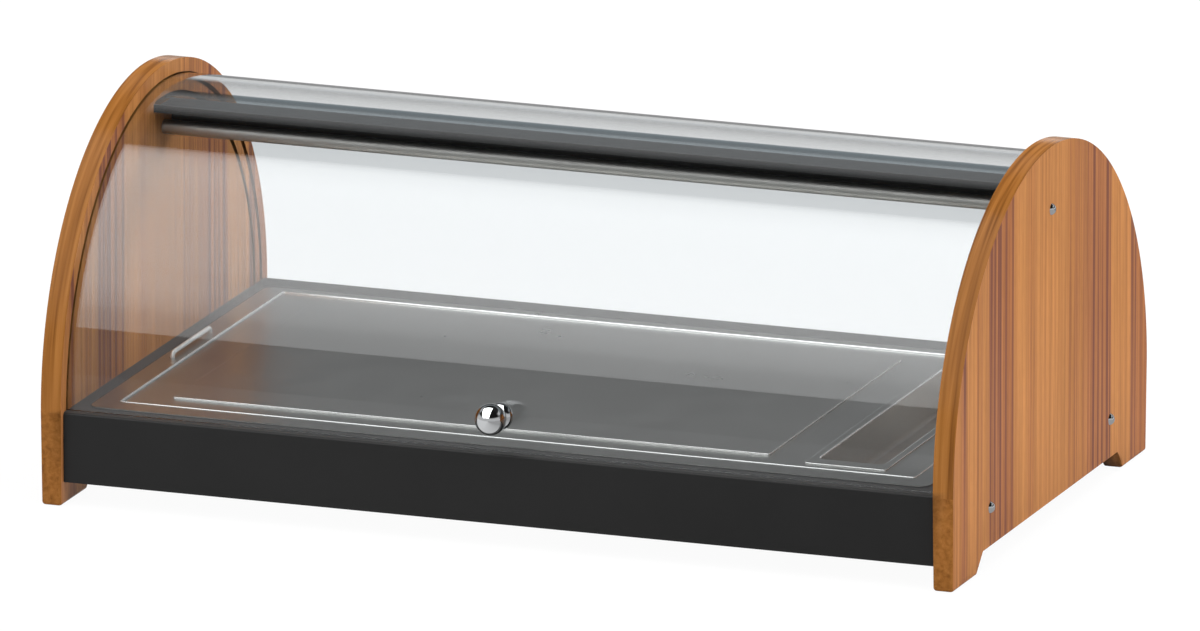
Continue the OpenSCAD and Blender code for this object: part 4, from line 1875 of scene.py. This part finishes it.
@dataclass
class Studio:
    """White floor and surroundings, which mirrors see grey and banded, with lamps and the camera."""

    azimuth: float = 20.245
    elevation: float = 14.828
    lens: float = 900.0
    sensor: float = 36.0
    frame_width: float = 1003.9 * MM
    aim: Point = (0.0, 11.309 * MM, 141.2 * MM)
    aim_right: float = 3.6 * MM
    aim_up: float = -1.0 * MM
    floor_size: float = 80.0
    floor_paint: str = "#F4F4F4"
    floor_glow: float = 0.95
    # What mirrors see of the floor, and where it darkens to the right and to the rear
    mirrored_floor: float = 0.65
    mirrored_floor_right: float = 0.3
    right_fade: FlatPoint = (-0.1, 0.25)
    mirrored_floor_rear_share: float = 0.5
    rear_fade: FlatPoint = (0.3, 0.8)
    # What mirrors see of the room, and what lights the object from all around
    mirrored_front: float = 0.5
    ceiling_fade: FlatPoint = (0.28, 0.45)
    ceiling_share: float = 0.02
    front_from_rear: FlatPoint = (0.2, -0.1)
    mirrored_rear: tuple[FlatPoint, ...] = (
        (0.1, 0.8), (0.19, 0.12), (0.44, 0.12), (0.5, 0.5), (0.66, 0.5), (0.73, 0.02),
    )
    ambient: float = 0.34
    # The key lamp's middle lies this far from the origin, tilted towards the front
    key_x: float = -2.6
    key_tilt: float = 27.0
    key_reach: float = 6.0
    key_size: FlatPoint = (7.2, 11.2)
    key_radiance: float = 2.2
    mirrored_radiance: float = 2.7
    key_fade: tuple[FlatPoint, ...] = (
        (0.0, 0.41), (0.12, 0.63), (0.165, 0.8), (0.27, 1.0), (0.8, 1.0), (0.93, 0.8), (1.0, 0.35),
    )
    glare_behind: float = 0.05
    fill_place: Point = (3.9, -1.0, 4.0)
    fill_size: float = 3.0
    fill_radiance: float = 4.3
    # A lamp behind the display that reaches the left panel through the rear cover, and its mirror
    # image, which picks out the tray's edges
    inner_place: Point = (0.35, 1.6, 1.6)
    inner_size: float = 1.0
    inner_radiance: float = 15.0
    rim_radiance: float = 2.2

    def white_rays(self, tree: bpy.types.NodeTree) -> bpy.types.NodeSocket:
        """Tells rays from the camera, also straight through clear sheets, from all others.

        Args:
            tree: the node tree that asks.

        Returns:
            The output that holds 1 for these rays and 0 for others.
        """
        rays = add_node(tree, "ShaderNodeLightPath")
        straight = add_node(
            tree, "ShaderNodeMath", {"operation": "LESS_THAN", 1: 0.5}, {0: rays.outputs["Glossy Depth"]}
        )
        through = add_node(
            tree,
            "ShaderNodeMath",
            {"operation": "MULTIPLY"},
            {0: rays.outputs["Is Transmission Ray"], 1: straight.outputs[0]},
        )
        seen = add_node(
            tree,
            "ShaderNodeMath",
            {"operation": "MAXIMUM"},
            {0: rays.outputs["Is Camera Ray"], 1: through.outputs[0]},
        )
        return seen.outputs[0]

    def build_floor(self) -> None:
        """Lays the floor, which shows white, keeps a faint shadow and is light grey in reflections."""
        material, tree, output = new_material("studio_floor")
        paint = add_node(tree, "ShaderNodeBsdfDiffuse", {"Color": srgb(self.floor_paint)})
        axes = add_node(tree, "ShaderNodeSeparateXYZ", {}, {0: position(tree)})
        start, end = self.right_fade
        left, right = self.mirrored_floor, self.mirrored_floor_right
        beside = add_node(
            tree,
            "ShaderNodeMapRange",
            {"From Min": start, "From Max": end, "To Min": left, "To Max": right},
            {0: axes.outputs["X"]},
        )
        start, end = self.rear_fade
        behind = add_node(
            tree,
            "ShaderNodeMapRange",
            {"From Min": start, "From Max": end, "To Min": 1.0, "To Max": self.mirrored_floor_rear_share},
            {0: axes.outputs["Y"]},
        )
        mirrored = add_node(
            tree, "ShaderNodeMath", {"operation": "MULTIPLY"}, {0: beside.outputs[0], 1: behind.outputs[0]}
        )
        strength = add_node(
            tree,
            "ShaderNodeMix",
            {"data_type": "FLOAT", 3: 1.0},
            {0: self.white_rays(tree), 2: mirrored.outputs[0]},
        )
        glow = add_node(tree, "ShaderNodeEmission", {}, {"Strength": strength.outputs[0]})
        rays = add_node(tree, "ShaderNodeLightPath")
        shiny = add_node(
            tree,
            "ShaderNodeMath",
            {"operation": "MAXIMUM"},
            {0: rays.outputs["Is Glossy Ray"], 1: rays.outputs["Is Transmission Ray"]},
        )
        seen = add_node(
            tree,
            "ShaderNodeMath",
            {"operation": "MAXIMUM"},
            {0: shiny.outputs[0], 1: rays.outputs["Is Camera Ray"]},
        )
        share = add_node(
            tree, "ShaderNodeMath", {"operation": "MULTIPLY", 1: self.floor_glow}, {0: seen.outputs[0]}
        )
        both = add_node(
            tree, "ShaderNodeMixShader", {}, {0: share.outputs[0], 1: paint.outputs[0], 2: glow.outputs[0]}
        )
        tree.links.new(both.outputs[0], output.inputs[0])
        bm = bmesh.new()
        bmesh.ops.create_grid(bm, x_segments=1, y_segments=1, size=self.floor_size / 2)
        floor = make_object("studio_floor", bm)
        floor.data.materials.append(material)
        floor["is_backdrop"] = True

    def build_world(self) -> None:
        """Makes the surroundings, white to the camera.

        Mirrors see them grey in front and, at the rear, bright along the horizon with a pale band
        higher up, all under a dark ceiling.
        """
        world = bpy.data.worlds.new("studio")
        world.use_nodes = True
        tree = world.node_tree
        tree.nodes.clear()
        output = tree.nodes.new("ShaderNodeOutputWorld")
        direction = add_node(tree, "ShaderNodeTexCoord").outputs["Generated"]
        axes = add_node(tree, "ShaderNodeSeparateXYZ", {}, {0: direction})
        start, end = self.ceiling_fade
        rise = add_node(
            tree,
            "ShaderNodeMapRange",
            {
                "From Min": start,
                "From Max": end,
                "To Min": 1.0,
                "To Max": self.ceiling_share,
                "interpolation_type": "SMOOTHSTEP",
            },
            {0: axes.outputs["Z"]},
        )
        bands = grey_stops(self.mirrored_rear)
        rear = add_node(tree, "ShaderNodeValToRGB", {"stops": bands}, {"Fac": axes.outputs["Z"]})
        front = add_node(
            tree, "ShaderNodeMath", {"operation": "MULTIPLY", 1: self.mirrored_front}, {0: rise.outputs[0]}
        )
        start, end = self.front_from_rear
        mirrored = add_node(
            tree,
            "ShaderNodeMapRange",
            {"From Min": start, "From Max": end},
            {0: axes.outputs["Y"], 3: rear.outputs["Color"], 4: front.outputs[0]},
        )
        diffuse_ray = add_node(tree, "ShaderNodeLightPath").outputs["Is Diffuse Ray"]
        room = add_node(
            tree,
            "ShaderNodeMix",
            {"data_type": "FLOAT", 3: self.ambient},
            {0: diffuse_ray, 2: mirrored.outputs[0]},
        )
        colour = add_node(
            tree,
            "ShaderNodeMix",
            {"data_type": "FLOAT", 3: 1.0},
            {0: self.white_rays(tree), 2: room.outputs[0]},
        )
        sky = add_node(
            tree, "ShaderNodeBackground", {"Color": (1, 1, 1, 1)}, {"Strength": colour.outputs[0]}
        )
        tree.links.new(sky.outputs[0], output.inputs[0])
        bpy.context.scene.world = world

    def hang_square(
        self, name: str, place: Point, side: float, radiance: float, mirrored: bool, lights: bool
    ) -> None:
        """Hangs a square lamp at a place, so that it faces the display.

        Args:
            name: the lamp's name.
            place: its middle.
            side: the length of its sides.
            radiance: how bright it is.
            mirrored: whether mirrors see it.
            lights: whether it lights matt surfaces.
        """
        x, y, z = place
        lean, turn = math.atan2(math.hypot(x, y), z), math.atan2(x, -y)
        lamp = Softbox(name, place, side, side, lean, turn, radiance, mirrored=mirrored, lights=lights)
        lamp.build(self.white_rays)

    def build_lamps(self) -> None:
        """Hangs the key softbox over the front, the fill lamps and what mirrors see beside them."""
        tilt, reach = math.radians(self.key_tilt), self.key_reach
        width, height = self.key_size
        glare = self.mirrored_radiance - self.key_radiance
        for name, radiance, behind in (("key", self.key_radiance, 0.0), ("glare", glare, self.glare_behind)):
            centre = (self.key_x, -(reach + behind) * math.sin(tilt), (reach + behind) * math.cos(tilt))
            lamp = Softbox(f"softbox_{name}", centre, width, height, tilt, 0.0, radiance, self.key_fade)
            lamp.lights = name == "key"
            lamp.build(self.white_rays)
        place, side = self.inner_place, self.inner_size
        self.hang_square("fill_right", self.fill_place, self.fill_size, self.fill_radiance, False, True)
        self.hang_square("fill_inside", place, side, self.inner_radiance, False, True)
        self.hang_square("rim_inside", place, side, self.rim_radiance, True, False)

    def build_camera(self) -> None:
        """Sets the long-lens camera at the photograph's angle."""
        a, e = math.radians(self.azimuth), math.radians(self.elevation)
        back = Vector((math.sin(a) * math.cos(e), -math.cos(a) * math.cos(e), math.sin(e)))
        right = Vector((math.cos(a), math.sin(a), 0))
        target = Vector(self.aim) + right * self.aim_right + back.cross(right) * self.aim_up
        data = bpy.data.cameras.new("camera")
        data.lens, data.sensor_width = self.lens, self.sensor
        distance = self.lens * self.frame_width / self.sensor
        data.clip_start, data.clip_end = 1.0, 4 * distance
        camera = bpy.data.objects.new("camera", data)
        camera.location = target + back * distance
        camera.rotation_mode = "QUATERNION"
        camera.rotation_quaternion = (-back).to_track_quat("-Z", "Y")
        bpy.context.scene.collection.objects.link(camera)
        bpy.context.scene.camera = camera

    def build(self) -> None:
        """Builds the whole studio."""
        bpy.context.scene.view_settings.view_transform = "Standard"
        self.build_floor()
        self.build_world()
        self.build_lamps()
        self.build_camera()


def corners(box: tuple[Vector, Vector]) -> list[list[float]]:
    """Returns a box as plain lists of numbers."""
    return [list(point) for point in box]


def main() -> None:
    """Builds each sub-assembly in order."""
    logging.basicConfig(level=logging.INFO, format="%(message)s")
    cad_box = corners(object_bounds())
    arch = Arch()
    rail = RailSection()
    front = arch.y - arch.radius
    veneer = TeakVeneer(front, 2 * arch.radius).make()
    lipping = TeakLipping("teak_lipping").make()
    foot_lipping = TeakLipping(
        "teak_foot_lipping", streak_rates=(1, 0.5, 0.3), mottle=0.8, streak_width=6 * MM
    ).make()
    # The routed cuts are rough bare wood, darker than the lipping as painted shade inside the grooves
    routed_shaded = TeakLipping("routed_teak_painted_shade", pale="#8A6236", mid="#6E4A24", dark="#4E3216", roughness=0.6).make()
    acrylic = CastAcrylic().make()
    chrome = WorkedMetal(
        "chrome_plate", "#E4E6E8", 0.04, spread=0.02, contrast=0.01, mark_depth=0.0005 * MM
    ).make()
    satin = WorkedMetal(
        "satin_stainless", "#BEBEBC", 0.3, mark_length=12 * MM, mark_depth=0.0004 * MM, contrast=0.02
    ).make()
    # Paler buffed steel on the bent edges, which paints highlight lines along them
    buffed_highlight = WorkedMetal(
        "buffed_stainless_edge_highlight", "#E0E0DE", 0.2, mark_depth=0.0005 * MM, contrast=0.02, metallic=0.65
    ).make()
    sheared = WorkedMetal("sheared_stainless_edge", "#6E6E6C", 0.62, contrast=0.08).make()
    drawn = WorkedMetal(
        "drawn_stainless_wire", "#E6E6E4", 0.36, mark_axis=1, contrast=0.03, metallic=0.6
    ).make()
    tube = WorkedMetal(
        "ground_stainless_tube", "#C4C2BE", 0.5, mark_width=0.9 * MM, mark_length=60 * MM, contrast=0.06
    ).make()
    brushed = WorkedMetal(
        "brushed_stainless", "#CBC8C4", 0.36, mark_width=0.9 * MM, mark_length=60 * MM, contrast=0.16
    ).make()
    anodised = MouldedPlastic("black_anodised_aluminium", "#0A0A0B", 0.4, gloss=0.3, bloom=0.36).make()
    zinc = WorkedMetal("zinc_plated_steel", "#C6C7C4", 0.35, contrast=0.08).make()
    abs_black = MouldedPlastic("moulded_black_abs", "#181818", 0.5, gloss=0.2, bloom=0.2).make()
    foam = MouldedPlastic("polyurethane_foam", "#E8E1CC", 0.9, grain=2.2 * MM, grain_depth=0.4 * MM).make()
    liner = MouldedPlastic("polystyrene_liner", "#C9CDD0", 0.35, grain=1.5 * MM).make()
    pack = MouldedPlastic("polyethylene_pack", "#2F6FA8", 0.38, grain=1.2 * MM, grain_depth=0.05 * MM).make()
    cap = MouldedPlastic("polyethylene_cap", "#E8ECEF", 0.4).make()
    SidePanels(arch, rail).dress([veneer, lipping, foot_lipping, routed_shaded])
    Base(arch).dress(abs_black)
    Covers(arch).dress(acrylic)
    Knob(arch).dress(chrome)
    TopRail(rail).dress(anodised, tube)
    PanelScrews().dress(chrome)
    Tray().dress(satin, buffed_highlight, brushed, sheared, drawn)
    InnerParts(
        {
            "bottom_cover": zinc,
            "bottom_cover_screws": zinc,
            "insulation_tub": foam,
            "inner_liner": liner,
            "cold_pack_left": pack,
            "cold_pack_right": pack,
            "cold_pack_caps": cap,
            "knob_washer": zinc,
            "knob_screw": zinc,
            "tie_bar_inserts": zinc,
            "base_nuts": zinc,
        }
    ).dress()
    Studio().build()
    {"cad": cad_box, "visual": corners(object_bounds())}


if __name__ == "__main__":
    main()
